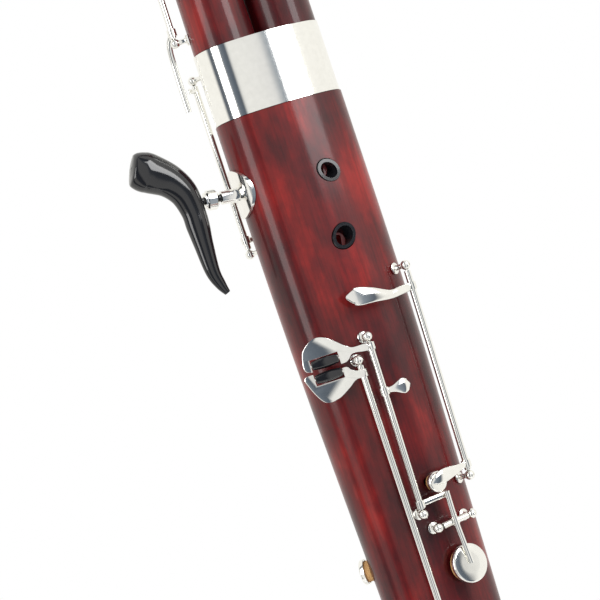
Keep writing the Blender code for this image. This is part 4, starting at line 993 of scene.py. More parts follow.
boot_cuts += g_key()
print("cuts in the boot", len(boot_cuts))

# %% [markdown]
# The little finger rests on two plates and rolls from one to the other over two black rollers.
# Both plates lie in one leaning plane. The outlines are corners in that plane, which a smooth
# curve joins, and a block cuts the slot for the roller. The pin is added after the slot is cut,
# or the slot would cut it away too.

# %% Roller plates
PLATE_THICKNESS = 1.3 * MM
ROLLER_RADIUS = 2.25 * MM
ROLLER_LENGTH = 11.2 * MM
ROLLER_PIN = 0.5 * MM
PLATE_LEAN = -20.0               # degrees from the front, minus towards the crutch
PLATE_PLACE = (-14.0 * MM, -23.6 * MM)
# In the leaning plane u runs to the right and v up from the boot's top, in millimetres
LOW_F_OUTLINE = [(-17.5, -135.9), (-17.3, -129.3), (-14.8, -126), (-10.8, -124), (-6.7, -124.8),
                 (-2.9, -127.6), (0.2, -130.4), (3.2, -132.1), (8.6, -132.5), (8.4, -135.1),
                 (2.5, -134.4), (0.1, -136.2), (-2.0, -137.0), (-8.0, -136.8)]
A_FLAT_OUTLINE = [(-18.2, -137.7), (-18.5, -141.8), (-14.3, -149.5), (-8.6, -149.8), (-3.3, -147.2),
                  (0.4, -144.8), (4.0, -144.6), (4.6, -141.9), (1.9, -141.5), (-0.4, -140.2),
                  (-1.8, -138.7), (-6.0, -138.5)]
OUTLINE_STEPS = 12               # points between two corners of an outline
SLOT_REACH = 9 * MM              # far enough to open the slot at the plate's edge


def plate_frame():
    """The plane of the roller plates: X to the right, Y up and Z out of the plates."""
    normal = direction(PLATE_LEAN)
    return aligned(Vector((*PLATE_PLACE, BOOT_TOP)), normal)


def roller_key_plate(outline, roller_middle, slot_edge, frame):
    """A finger plate with a slot for its roller and the pin that the roller turns on."""
    corners = [(u * MM, v * MM) for u, v in outline]
    shape = plate(smooth_outline(corners, OUTLINE_STEPS), PLATE_THICKNESS, frame)
    half = ROLLER_LENGTH / 2 + GAP
    clear = ROLLER_RADIUS + GAP
    low_v, high_v = sorted((roller_middle[1] + slot_edge * clear,
                            roller_middle[1] - slot_edge * SLOT_REACH))
    slot = block((roller_middle[0] - half, low_v, -3 * MM), (roller_middle[0] + half, high_v, 3 * MM),
                 frame)
    ends = [frame @ Vector((roller_middle[0] + side * (half + 1.0 * MM), roller_middle[1], 0))
            for side in (-1, 1)]
    return shape, slot, rod(ends[0], ends[1], ROLLER_PIN, ROD_SIDES)


print("plates", len(LOW_F_OUTLINE), "and", len(A_FLAT_OUTLINE), "corners")

# %% [markdown]
# A roller is a barrel of resin with a hole for its pin. Its profile swells by a parabola, which
# has no corner where a finger slides over it.

# %% Rollers
ROLLER_END_RADIUS = 1.75 * MM
ROLLER_BORE = 0.85 * MM
BARREL_STEPS = 8                 # steps on half of the barrel


def roller(name, middle, frame):
    """A barrel-shaped roller on the pin in a plate's slot."""
    half = ROLLER_LENGTH / 2
    profile = [(ROLLER_BORE, -half), (ROLLER_END_RADIUS - 0.4 * MM, -half)]
    for step in range(2 * BARREL_STEPS + 1):
        share = step / BARREL_STEPS - 1
        bulge = (ROLLER_RADIUS - ROLLER_END_RADIUS) * (1 - share * share)
        profile.append((ROLLER_END_RADIUS + bulge, share * (half - 0.3 * MM)))
    profile += [(ROLLER_END_RADIUS - 0.4 * MM, half), (ROLLER_BORE, half)]
    centre = frame @ Vector((middle[0], middle[1], 0))
    along = frame.to_3x3() @ RIGHT
    make(name, [moved(turned(profile, TUBE_SIDES, loop=True), aligned(centre, along))], resin)


print("a roller is", ROLLER_LENGTH, "long")

# %% [markdown]
# The upper plate works the low F hole, which lies too far away for one lever. Its tube turns,
# and a short arm at the foot of the tube lifts the tail of a see-saw.

# %% Low F lever
def low_f_lever():
    """The little finger's roller plate, its tube and the arm that lifts the see-saw's tail."""
    hinge = front_hinge(204.8 * MM, -4.0 * MM, 130.0 * MM, -3.2 * MM)
    posts("low_f_lever_posts", hinge)
    frame = plate_frame()
    middle = (-9.3 * MM, -134.3 * MM)
    shape, slot, pin = roller_key_plate(LOW_F_OUTLINE, middle, 1, frame)
    roller("low_f_roller", middle, frame)
    root = hinge.at(BOOT_TOP - 134.0 * MM)
    neck = arm([root, frame @ Vector((7.4 * MM, -133.8 * MM, 0))], UP, 1.3 * MM, 0.8 * MM)
    touch_root = hinge.at(BOOT_TOP - 153.0 * MM)
    touch = leaf([touch_root, front_point(153.1 * MM, 0.0, 7.0 * MM),
                  front_point(153.3 * MM, 4.6 * MM, 7.3 * MM),
                  front_point(153.4 * MM, 7.6 * MM, 7.0 * MM)],
                 [1.1 * MM, 1.4 * MM, 3.1 * MM, 1.6 * MM], FRONT)
    arm_root = hinge.at(BOOT_TOP - 200.6 * MM)
    lift_arm = arm([arm_root, front_point(200.4 * MM, 9.2 * MM, 5.4 * MM)], FRONT)
    make("low_f_lever", [shape, neck, hinge.tube(), hinge.collar(root), hinge.collar(touch_root), touch,
                         hinge.collar(arm_root), lift_arm],
         silver, cuts=[slot, hinge.bore()], added=[pin])


low_f_lever()

# %% [markdown]
# The see-saw has a hinge across the boot: the lever lifts its tail, and the large cup at its
# other end goes down on the hole.

# %% Low F pad key
LOW_F_RISE = 5.5 * MM            # its hinge above the wood
LOW_F_OPEN = 5.5                 # degrees from closed at which it stands
LOW_F_PAD_RADIUS = 7.1 * MM
LOW_F_HOLE_RADIUS = 4.4 * MM
LOW_F_ARM_SHARE = 0.47           # place of its arm on the tube


def low_f_pad_key():
    """The see-saw: its tail lies on the lever's arm and its cup closes the low F hole."""
    hinge = front_hinge(212.2 * MM, 0.44 * MM, 212.0 * MM, 17.35 * MM, LOW_F_RISE)
    posts("low_f_pad_key_posts", hinge)
    pad_radius = LOW_F_PAD_RADIUS
    pad_seat = front_seat(230.1 * MM, 8.3 * MM)
    frame = cup_frame(pad_seat, pad_radius, hinge, -LOW_F_OPEN)
    pad("low_f_pad", pad_radius, frame)
    lever = arm([front_point(199.2 * MM, 8.3 * MM, 7.3 * MM),
                 front_point(212.1 * MM, 8.3 * MM, 7.0 * MM), cup_top(frame)], FRONT, 1.1 * MM, 0.7 * MM)
    middle = hinge.low.lerp(hinge.high, LOW_F_ARM_SHARE)
    make("low_f_pad_key", [hinge.tube(), hinge.collar(middle), lever, cup(pad_radius, frame)],
         silver, cuts=[hinge.bore()])
    return tone_hole(pad_seat, pad_radius, LOW_F_HOLE_RADIUS, large_bore(BOOT_TOP - 226 * MM))


boot_cuts += low_f_pad_key()
print("cuts in the boot", len(boot_cuts))

# %% [markdown]
# The lower plate works the A flat hole near the boot's foot through a tube that runs beside the
# lever's. This key stands closed, so its cup is set down on the wood without a turn.

# %% A flat key
A_FLAT_PAD_RADIUS = 5.2 * MM
A_FLAT_HOLE_RADIUS = 3.4 * MM


def a_flat_key():
    """The second roller plate, whose long tube lifts a closed pad near the foot of the boot."""
    hinge = front_hinge(279.0 * MM, -8.9 * MM, 137.8 * MM, -9.65 * MM)
    posts("a_flat_key_posts", hinge)
    frame = plate_frame()
    middle = (-9.5 * MM, -139.9 * MM)
    shape, slot, pin = roller_key_plate(A_FLAT_OUTLINE, middle, -1, frame)
    roller("a_flat_roller", middle, frame)
    root = hinge.at(BOOT_TOP - 143.3 * MM)
    neck = arm([root, frame @ Vector((3.0 * MM, -143.3 * MM, 0))], UP, 1.3 * MM, 0.8 * MM)
    pad_radius = A_FLAT_PAD_RADIUS
    pad_seat = front_seat(267.0 * MM, 5.0 * MM)
    cup_place = cup_frame(pad_seat, pad_radius, hinge, 0.0)
    pad("a_flat_pad", pad_radius, cup_place)
    arm_root = hinge.at(BOOT_TOP - 266.0 * MM)
    pad_arm = arm([arm_root, arm_root.lerp(cup_top(cup_place), 0.5) + FRONT * MM, cup_top(cup_place)],
                  FRONT)
    make("a_flat_key", [shape, neck, hinge.tube(), hinge.collar(root), hinge.collar(arm_root), pad_arm,
                        cup(pad_radius, cup_place)],
         silver, cuts=[slot, hinge.bore()], added=[pin])
    return tone_hole(pad_seat, pad_radius, A_FLAT_HOLE_RADIUS, large_bore(BOOT_TOP - 263 * MM))


boot_cuts += a_flat_key()
print("cuts in the boot", len(boot_cuts))

# %% [markdown]
# Behind the boot the thumb has its own keys. The largest stands open over the E hole. When it
# closes, a crank at the top of its tube pushes the lever of the whisper key on the wing.

# %% E key
E_RISE = 6.35 * MM               # its hinge above the wood
E_OPEN = 5.5                     # degrees from closed at which it stands
BRIDGE_DROP = 11.4 * MM          # crank of the bridge below the top of the boot
FERRULE_INSET = 0.4 * MM         # ferrule below the surface of the wood
E_PAD_RADIUS = 7.6 * MM
E_HOLE_RADIUS = 4.6 * MM


def e_key():
    """The thumb's large open key, with the crank at its top that works the whisper key."""
    hinge = Hinge(boot_seat(BOOT_TOP - 83.2 * MM, -141.5), boot_seat(BOOT_TOP - 7.0 * MM, -141.5),
                  E_RISE, FERRULE_INSET)
    posts("e_key_posts", hinge)
    pad_radius = E_PAD_RADIUS
    pad_seat = boot_seat(BOOT_TOP - 79.0 * MM, 180)
    frame = cup_frame(pad_seat, pad_radius, hinge, E_OPEN)
    pad("e_pad", pad_radius, frame)
    arm_root = hinge.at(BOOT_TOP - 77.0 * MM)
    bow = arm_root.lerp(cup_top(frame), 0.5) - FRONT * 1.5 * MM
    crank_root = hinge.at(BOOT_TOP - BRIDGE_DROP)
    tip = crank_root + Vector((-4.3 * MM, -4.1 * MM, 0))
    crank = arm([crank_root, tip], UP, 0.9 * MM, 0.9 * MM)
    knob = rod(tip - UP * MM, tip + UP * MM, 1.0 * MM)
    make("e_key", [hinge.tube(), hinge.collar(arm_root),
                   arm([arm_root, bow, cup_top(frame)], -FRONT), cup(pad_radius, frame), crank, knob],
         silver, cuts=[hinge.bore()])
    return tone_hole(pad_seat, pad_radius, E_HOLE_RADIUS, small_bore(BOOT_TOP - 76 * MM))


boot_cuts += e_key()
print("cuts in the boot", len(boot_cuts))

# %% [markdown]
# Six more keys are alike: one touch and one cup on a tube. They share a function, which takes
# the place under the touch and the place of the hole. The arm to the cup bows over the round
# wood, and its bow follows from the angle between the two places.

# %% A key with one touch and one cup
TOUCH_RISE = 0.8 * MM            # middle of a touch above the line of the hinge
TOUCH_REACH = 4.2 * MM           # from its middle to its tip
TOUCH_DIP = 0.3 * MM             # tip below the middle
TOUCH_WIDTHS = [1.2 * MM, 1.7 * MM, 3.6 * MM, 1.4 * MM]
ARM_BOW = 1.3 * MM


def tube_key(name, hinge, touch, pad_seat, pad_radius, opened, hole):
    """A key with one leaf touch and one round pad on a tube between two posts.

    The touch is the place on the wood under its middle, and the hole is a radius and the point
    in the air column that it leads to. It returns the cutters for the wood.
    """
    posts(name + "_posts", hinge)
    frame = cup_frame(pad_seat, pad_radius, hinge, opened)
    pad(name + "_pad", pad_radius, frame)
    touch_root = hinge.at(touch.point.z)
    touch_middle = touch.above(KEY_RISE + TOUCH_RISE)
    reach = touch_middle - touch_root
    touch_outward = (hinge.feet[0][0].normal + touch.normal).normalized()
    touch_tip = touch_middle + reach.normalized() * TOUCH_REACH - touch.normal * TOUCH_DIP
    touch_leaf = leaf([touch_root, touch_root + reach * 0.45 + touch_outward * 1.2 * MM,
                       touch_middle, touch_tip],
                      TOUCH_WIDTHS, touch_outward)
    pad_root = hinge.at(pad_seat.point.z)
    pad_top = cup_top(frame)
    pad_outward = (hinge.feet[0][0].normal + pad_seat.normal).normalized()
    half_turn = hinge.feet[0][0].normal.angle(pad_seat.normal) / 2
    bow = ARM_BOW + (pad_seat.bend + KEY_RISE) * (1 - math.cos(half_turn))
    pad_arm = arm([pad_root, (pad_root + pad_top) / 2 + pad_outward * bow, pad_top], pad_outward)
    make(name, [hinge.tube(), hinge.collar(touch_root), hinge.collar(pad_root), touch_leaf, pad_arm,
                cup(pad_radius, frame)],
         silver, cuts=[hinge.bore()])
    return tone_hole(pad_seat, pad_radius, *hole)


print("tube key ready")

# %% [markdown]
# The F sharp and B flat keys lie behind the boot, one on each side. A row of the table gives a
# key's side, then the depths below the boot's top of its low post, high post, touch and hole,
# and the radius of the hole, all in millimetres.

# %% F sharp and B flat keys
THUMB_PAD_RADIUS = 4.4 * MM
THUMB_KEYS = [("f_sharp_key", 1, 179.0, 107.0, 115.0, 169.0, 3.2),
              ("b_flat_key", -1, 234.0, 144.0, 153.0, 223.0, 3.4)]


def thumb_keys():
    """The two keys on the back of the boot. It returns the boot's cutters."""
    cuts = []
    for name, side, low, high, touch, place, hole in THUMB_KEYS:
        hinge = Hinge(boot_seat(BOOT_TOP - low * MM, side * 165),
                      boot_seat(BOOT_TOP - high * MM, side * 165))
        bore = large_bore if side > 0 else small_bore
        cuts += tube_key(name, hinge, boot_seat(BOOT_TOP - touch * MM, side * 178),
                         boot_seat(BOOT_TOP - place * MM, side * 125), THUMB_PAD_RADIUS, 0.0,
                         (hole * MM, bore(BOOT_TOP - place * MM)))
    return cuts


boot_cuts += thumb_keys()
print("cuts in the boot", len(boot_cuts))

# %% [markdown]
# Now the wood of the boot. Rings of the oval are lofted from the floor up, drawn in where the
# cap and the ferrule go on. Then the two sockets, the two bores and all holes of the keys are
# cut, the bores as slender cones.

# %% Boot
FERRULE_HEIGHT = 30.0 * MM
FERRULE_WALL = 0.8 * MM
CAP_WALL = 1.0 * MM
CAP_INSET = 0.2 * MM
FERRULE_FOOT = BOOT_TOP - FERRULE_HEIGHT
TENON_DEPTH = 25.0 * MM
TENON_CLEARANCE = 0.3 * MM       # round the cork in the socket
SOCKET_SPARE = 1.0 * MM          # socket deeper than its tenon
WING_TENON = 9.6 * MM            # over the cork
LONG_TENON = 10.6 * MM
BOOT_BORE_WING = 5.0 * MM
BOOT_BORE_BEND = 6.4 * MM
BOOT_BORE_LONG = 7.6 * MM
BODY_SIDES = 120
BOOT_STEPS = 60                  # rings between the cap and the ferrule


def tenon_socket(across, radius):
    """The cutter for the socket of a tenon."""
    foot = BOOT_TOP - TENON_DEPTH - SOCKET_SPARE
    return rod(Vector((across, 0, foot)), Vector((across, 0, BOOT_TOP)), radius + TENON_CLEARANCE,
               BODY_SIDES)


def make_boot(cuts):
    ferrule_room = -(FERRULE_INSET + FERRULE_WALL + GAP)
    cap_room = -(CAP_INSET + CAP_WALL + GAP)
    shoulder = CAP_HEIGHT + GAP
    rise = FERRULE_FOOT - GAP - shoulder
    levels = [(WOOD_FOOT, cap_room), (shoulder, cap_room), (shoulder, 0.0)]
    levels += [(shoulder + rise * step / BOOT_STEPS, 0.0) for step in range(1, BOOT_STEPS + 1)]
    levels += [(FERRULE_FOOT - GAP, ferrule_room), (WOOD_TOP, ferrule_room)]
    sockets = [tenon_socket(WING_AXIS, WING_TENON), tenon_socket(LONG_AXIS, LONG_TENON)]
    bores = [rod(axis(WOOD_FOOT) - UP * MM, axis(WOOD_TOP), BOOT_BORE_BEND, CUP_SIDES, top_radius)
             for axis, top_radius in ((small_bore, BOOT_BORE_WING), (large_bore, BOOT_BORE_LONG))]
    make("boot_body", [boot_stack(levels)], maple, cuts=sockets + bores + cuts)


make_boot(boot_cuts)

# %% [markdown]
# The wide silver ferrule keeps the top of the boot from splitting. It is a flat-topped shell a
# little thicker than a card. The same rings make it, once for the inside and once for the
# outside, so the ferrule follows the wood with an even wall.

# %% Top ferrule
def make_ferrule():
    inner = -(FERRULE_INSET + FERRULE_WALL)
    ceiling = BOOT_TOP - FERRULE_PLATE
    shell = boot_stack([(ceiling, inner), (FERRULE_FOOT, inner), (FERRULE_FOOT, -FERRULE_INSET),
                        (BOOT_TOP, -FERRULE_INSET)])
    holes = [rod(Vector((x, 0, ceiling - MM)), Vector((x, 0, BOOT_TOP + MM)),
                 radius + TENON_CLEARANCE, BODY_SIDES)
             for x, radius in ((WING_AXIS, WING_TENON), (LONG_AXIS, LONG_TENON))]
    make("top_ferrule", [shell], silver, cuts=holes)


make_ferrule()

# %% [markdown]
# The cap closes the foot of the boot and hides the bend. The stack starts under its floor, goes
# up outside with a rounded edge and comes down inside.

# %% Boot cap
CAP_FLOOR = 1.6 * MM
CAP_ROUNDING = 1.5 * MM
CHAMFER = 0.3                    # share of the rounding at its middle ring


def make_cap():
    inner = -(CAP_INSET + CAP_WALL)
    make("boot_cap", [boot_stack([(0.0, -CAP_INSET - CAP_ROUNDING),
                                  (CHAMFER * CAP_ROUNDING, -CAP_INSET - CHAMFER * CAP_ROUNDING),
                                  (CAP_ROUNDING, -CAP_INSET), (CAP_HEIGHT, -CAP_INSET),
                                  (CAP_HEIGHT, inner), (CAP_FLOOR + CAP_ROUNDING, inner),
                                  (CAP_FLOOR, inner - CAP_ROUNDING)])], silver)


make_cap()

# %% [markdown]
# The metal bend leads the air from one bore to the other. A round section is swept along half a
# circle, and a thinner sweep along the same path is cut out of it. The ends of the path run on a
# little, because faces that only just meet are hard for a boolean.

# %% Bend
BEND_WALL = 0.8 * MM
BEND_PLATE = 1.4 * MM
BEND_STEPS = 32
BEND_SEATING = 0.8               # share of the flange that the tube enters


def make_bend():
    """The metal bend under the boot that turns the air column back upwards."""
    top = WOOD_FOOT - GAP
    room = -(CAP_INSET + CAP_WALL + GAP)
    flange = boot_stack([(top - BEND_PLATE, room), (top, room)])
    half = BEND_SPACING / 2
    centre = Vector((0, 0, top - BEND_PLATE))
    turns = [math.pi * step / BEND_STEPS for step in range(BEND_STEPS + 1)]
    path = [centre + Vector((-half * math.cos(turn), 0, -half * math.sin(turn))) for turn in turns]
    entry = UP * (BEND_SEATING * BEND_PLATE)
    seated = [path[0] + entry] + path + [path[-1] + entry]
    outer = swept([(point, BOOT_BORE_BEND + BEND_WALL, BOOT_BORE_BEND + BEND_WALL)
                   for point in seated], CUP_SIDES, FRONT)
    lead = UP * 3 * MM
    bore_path = [path[0] + lead] + path + [path[-1] + lead]
    bore = swept([(point, BOOT_BORE_BEND, BOOT_BORE_BEND) for point in bore_path], CUP_SIDES, FRONT)
    make("u_bend", [flange, outer], silver, cuts=[bore])


make_bend()

# %% [markdown]
# The hand rest, which players call the crutch, stands on a silver saddle at the left side of the
# boot. The saddle is a piece of a shell round the boot, kept within a disc, with a socket
# soldered on. Bending a flat disc to the wood would be the real way, but cutting it from the
# shell fits the wood exactly.

# %% Saddle of the hand rest
CRUTCH_DROP = 59.1 * MM          # its socket below the top of the boot
CRUTCH_SLOPE = 6.0               # degrees that its stem points upwards
CRUTCH_PLATE_RADIUS = 10.2 * MM
CRUTCH_PLATE_THICKNESS = 1.1 * MM
CRUTCH_SOCKET_RADIUS = 2.75 * MM
CRUTCH_SOCKET_BORE = 1.8 * MM
CRUTCH_SOCKET_LENGTH = 8.0 * MM  # from the wood outwards
SADDLE_SIDES = 72
CRUTCH_SEAT = boot_seat(BOOT_TOP - CRUTCH_DROP, -90)
CRUTCH_SLANT = math.radians(CRUTCH_SLOPE)
CRUTCH_OUT = Vector((-math.cos(CRUTCH_SLANT), 0, math.sin(CRUTCH_SLANT)))


def make_saddle():
    height = BOOT_TOP - CRUTCH_DROP
    start, out = CRUTCH_SEAT.point, CRUTCH_OUT
    outside = GAP + CRUTCH_PLATE_THICKNESS
    half = CRUTCH_PLATE_RADIUS + 3 * MM
    shell = boot_stack([(height - half, GAP), (height - half, outside), (height + half, outside),
                        (height + half, GAP)], loop=True)
    disc = rod(Vector((0, 0, height)) - RIGHT * 2 * MM, CRUTCH_SEAT.above(6 * MM), CRUTCH_PLATE_RADIUS,
               SADDLE_SIDES)
    socket_profile = [(CRUTCH_SOCKET_RADIUS + 0.9 * MM, 0.9 * MM),
                      (CRUTCH_SOCKET_RADIUS + 0.2 * MM, 2.2 * MM),
                      (CRUTCH_SOCKET_RADIUS, 3.4 * MM),
                      (CRUTCH_SOCKET_RADIUS, CRUTCH_SOCKET_LENGTH)]
    socket = moved(turned(socket_profile, CUP_SIDES), aligned(start, out))
    bore = rod(start + out * 1.1 * MM, start + out * (CRUTCH_SOCKET_LENGTH + MM), CRUTCH_SOCKET_BORE)
    make("crutch_plate", [shell, socket], silver, cuts=[bore], within=[disc])


make_saddle()

# %% [markdown]
# The nut that fixes the rest is fluted for the fingers. Every second point of its rings lies a
# little deeper, which gives the flutes in one loft. Cutting each flute would give the same for
# many more booleans.

# %% Fluted nut
CRUTCH_STEM_RADIUS = 1.45 * MM
NUT_RADIUS = 4.15 * MM
NUT_START = 9.7 * MM             # inner face of the nut from the wood
NUT_THICKNESS = 5.4 * MM
NUT_FLUTES = 12
NUT_FLUTE_DEPTH = 0.3 * MM
NUT_HUB = 3.0 * MM
NUT_COLLAR = 3.3 * MM


def fluted(radius, along, depth):
    """A ring of points, every second one of them deeper."""
    sides = 2 * NUT_FLUTES
    return [Vector(((radius - depth * (step % 2)) * math.cos(math.tau * step / sides),
                    (radius - depth * (step % 2)) * math.sin(math.tau * step / sides), along))
            for step in range(sides)]


def make_nut():
    bore = CRUTCH_STEM_RADIUS + GAP
    rings = [fluted(bore, 0.0, 0.0), fluted(NUT_HUB, 0.0, 0.0),
             fluted(NUT_RADIUS, 0.9 * MM, NUT_FLUTE_DEPTH),
             fluted(NUT_RADIUS, NUT_THICKNESS - 1.2 * MM, NUT_FLUTE_DEPTH),
             fluted(NUT_COLLAR, NUT_THICKNESS - 0.6 * MM, 0.0), fluted(NUT_COLLAR, NUT_THICKNESS, 0.0),
             fluted(bore, NUT_THICKNESS, 0.0)]
    start = CRUTCH_SEAT.point + CRUTCH_OUT * NUT_START
    make("crutch_nut", [moved(loft(rings, loop=True), aligned(start, CRUTCH_OUT))], silver)


make_nut()

# %% [markdown]
# The rest is a smooth black hook that lies between thumb and first finger. It was sculpted: a
# middle line with a width at each place, swept with an oval that is a little thinner than
# wide. Its head is drawn in round like the touches.

# %% Hand rest
# Out from the wood, up from the socket and half the width, in millimetres, from the head down
REST_SPINE = [(40.2, 22.6, 4.6), (39.0, 22.0, 6.9), (36.0, 20.2, 8.1), (32.9, 18.4, 8.1),
              (26.6, 13.6, 7.0), (22.4, 7.2, 6.1), (20.9, -1.0, 5.1), (20.9, -7.3, 4.9),
              (21.1, -14.8, 4.1), (21.1, -26.3, 3.1), (19.6, -32.5, 2.3), (17.9, -36.6, 1.3)]
REST_THINNESS = 0.78             # thickness as a share of the width
REST_LEAST = 1.2                 # and never less than this, in millimetres
REST_SIDES = 64
REST_END = 0.09


def make_rest():
    start, out = CRUTCH_SEAT.point, CRUTCH_OUT
    stations = []
    for away, rise, width in REST_SPINE:
        point = start + Vector((-away * MM, 0, rise * MM))
        stations.append((point, width * MM, max(REST_THINNESS * width, REST_LEAST) * MM))
    smooth = smooth_stations(stations, 2)[::-1]
    body = swept(rounded_end(smooth, REST_END)[::-1], REST_SIDES, FRONT)
    stem = rod(start + out * 1.6 * MM, start + out * 20.0 * MM, CRUTCH_STEM_RADIUS)
    make("crutch", [body, stem], resin)


make_rest()

# %% [markdown]
# The wing joint stands in the boot's small bore. Its surface is a slender cone, and its keys ask
# for places on it in the same way as on the boot.

# %% Places on the wing
TUBE_RADIUS = 13.4 * MM          # both tubes where they leave the boot
WING_LENGTH = 360.0 * MM
WING_TOP_RADIUS = 9.6 * MM
WING_FOOT = BOOT_TOP + GAP
WING_TOP = WING_FOOT + WING_LENGTH


def wing_radius(height):
    share = (height - WING_FOOT) / WING_LENGTH
    return TUBE_RADIUS + (WING_TOP_RADIUS - TUBE_RADIUS) * share


def wing_seat(height, angle):
    bend = wing_radius(height)
    normal = direction(angle)
    return Seat(Vector((WING_AXIS, 0, height)) + normal * bend, normal, bend)


def wing_height(share):
    """A height on the wing joint, 0 at its foot and 1 at its top."""
    return WING_FOOT + WING_LENGTH * share


print("wing from", round(WING_FOOT, 4), "to", round(WING_TOP, 4))

# %% [markdown]
# The whisper key closes the small vent of the bocal for the low notes. Its tube is almost as
# long as the wing, its lever reaches down to the crank of the E key, and its small cup reaches
# over to the vent.

# %% Whisper key
BOCAL_RADIUS = 3.5 * MM
NIB_RISE = 20.0 * MM             # vent nib above the top of the wing joint
NIB_LENGTH = 3.0 * MM
NIB_ANGLE = -33.0                # degrees from the front, minus towards the crutch
WHISPER_OPEN = 2.75              # degrees from closed at which it stands
WHISPER_PAD_RADIUS = 2.6 * MM
NIB_BEND = 1.0                   # the nib ends flat, so its bend has a large radius
WHISPER_RISE = 5.7 * MM          # hinge above the wood
WHISPER_SIDE = -105              # degrees of the hinge, in the same way


def whisper_key():
    """The long key on the wing whose small pad closes the vent of the bocal."""
    hinge = Hinge(wing_seat(WING_FOOT + 7.7 * MM, WHISPER_SIDE),
                  wing_seat(wing_height(0.94), WHISPER_SIDE), WHISPER_RISE)
    posts("whisper_key_posts", hinge)
    out = direction(NIB_ANGLE)
    nib_tip = Vector((WING_AXIS, 0, WING_TOP + NIB_RISE)) + out * (BOCAL_RADIUS + NIB_LENGTH)
    pad_radius = WHISPER_PAD_RADIUS
    seat = Seat(nib_tip + out * SEAT_LIP, out, NIB_BEND)
    frame = cup_frame(seat, pad_radius, hinge, -WHISPER_OPEN)
    pad("whisper_pad", pad_radius, frame)
    lever_root = hinge.at(WING_FOOT + 12.2 * MM)
    lever = arm([lever_root, lever_root + Vector((-1.8, 3.2, -4.5)) * MM,
                 lever_root + Vector((-1.6, 6.2, -15.5)) * MM,
                 lever_root + Vector((-1.3, 7.8, -32.0)) * MM],
                Vector((-0.33, -0.94, 0)), 1.2 * MM, 0.75 * MM)
    arm_root = hinge.at(wing_height(0.91))
    pad_arm = arm([arm_root, arm_root + Vector((-1.5, -5.5, 9)) * MM,
                   arm_root + Vector((2.0, -9.5, 28)) * MM, cup_top(frame)],
                  Vector((-0.8, -0.6, 0)), 1.0 * MM, 0.7 * MM)
    make("whisper_key", [hinge.tube(), hinge.collar(lever_root), hinge.collar(arm_root), lever, pad_arm,
                         cup(pad_radius, frame)],
         silver, cuts=[hinge.bore()])


whisper_key()

# %% [markdown]
# One more key with a touch and a cup: the high A key, behind the wing.

# %% High A key
HIGH_A_PAD_RADIUS = 3.2 * MM
HIGH_A_HOLE_RADIUS = 1.2 * MM


def high_a_key():
    """The key behind the wing. It returns the wing's cutters."""
    hinge = Hinge(wing_seat(wing_height(0.64), 178), wing_seat(wing_height(0.84), 178))
    height = wing_height(0.8)
    return tube_key("high_a_key", hinge, wing_seat(wing_height(0.67), -148), wing_seat(height, 140),
                    HIGH_A_PAD_RADIUS, 0.0, (HIGH_A_HOLE_RADIUS, Vector((WING_AXIS, 0, height))))


wing_cuts = high_a_key()
print("cuts in the wing", len(wing_cuts))

# %% [markdown]
# Tenons join the parts of the instrument. Each is wrapped in a groove, here with a plain ring of
# cork that stands a little out of it and seals the socket.

# %% Tenons and their wraps
CORK_HEIGHT = 17.0 * MM
CORK_THICKNESS = 0.8 * MM
BAND_SIDES = 120
TENON_RELIEF = 0.4 * MM          # surface of a tenon's wood below that of its cork


def tenon(foot, top, radius, cork_height):
    """Profile of a tenon from its foot up to the shoulder, with the groove for its cork."""
    wood = radius - TENON_RELIEF
    groove = radius - CORK_THICKNESS - GAP
    low = (foot + top - cork_height) / 2 - GAP
    high = (foot + top + cork_height) / 2 + GAP
    return [(wood - TENON_RELIEF, foot), (wood, foot + 0.6 * MM), (wood, low), (groove, low),
            (groove, high), (wood, high), (wood, top)]


def cork_ring(name, axis, foot, top, radius, cork_height):
    low = (foot + top - cork_height) / 2
    high = (foot + top + cork_height) / 2
    inner = radius - CORK_THICKNESS
    profile = [(inner, low), (radius, low), (radius, high), (inner, high)]
    make(name, [turned(profile, BAND_SIDES, axis, loop=True)], cork)


print("cork stands", round(TENON_RELIEF, 5), "out of its groove")

# %% [markdown]
# The wing has a thick side, so that its long finger holes can slant. Seen from above it is a
# round tube wrapped together with a second round further out. The ring takes in each direction
# the round that reaches further, and the thick side swells and fades along the joint.

# %% Outline of the wing
WING_BULGE = 9.0 * MM            # how far the thick side of the wing leans out
WING_BULGE_RADIUS = 8.6 * MM
WING_BULGE_ANGLE = -28.0         # degrees from the front, minus towards the crutch
BULGE_START = 0.18               # shares of the wing's length
BULGE_END = 0.88
BULGE_RUN = 0.14
BULGE_STEP = 0.01                # between two rings where it swells or fades
BULGE_RINGS = 15
BULGE_MIDDLE = 0.53


def wing_bulge(share):
    """How far the thick finger side of the wing has swelled, from 0 to 1."""
    rise = min(max((share - BULGE_START) / BULGE_RUN, 0.0), 1.0)
    fall = min(max((BULGE_END - share) / BULGE_RUN, 0.0), 1.0)
    part = min(rise, fall)
    return part * part * (3 - 2 * part)


def wing_ring(height, bulge):
    """The wing's outline: a round tube wrapped together with a second round further out."""
    axis = Vector((WING_AXIS, 0, height))
    rounds = [(axis, wing_radius(height))]
    if bulge > 0:
        rounds.append((axis + direction(WING_BULGE_ANGLE) * (WING_BULGE * bulge), WING_BULGE_RADIUS))
    points = []
    for step in range(BODY_SIDES):
        turn = math.tau * step / BODY_SIDES
        ray = Vector((math.cos(turn), math.sin(turn), 0))
        centre, radius = max(rounds, key=lambda item: item[0].dot(ray) + item[1])
        points.append(centre + ray * radius)
    return points


print("the wing is", round(WING_BULGE + WING_BULGE_RADIUS, 4), "deep at its thick side")

# %% [markdown]
# The wing is lofted from its tenon up to the step for its band. Three finger holes come out of
# the thick side at a slant, the bore is a slender cone, and the top is a socket for the bocal.

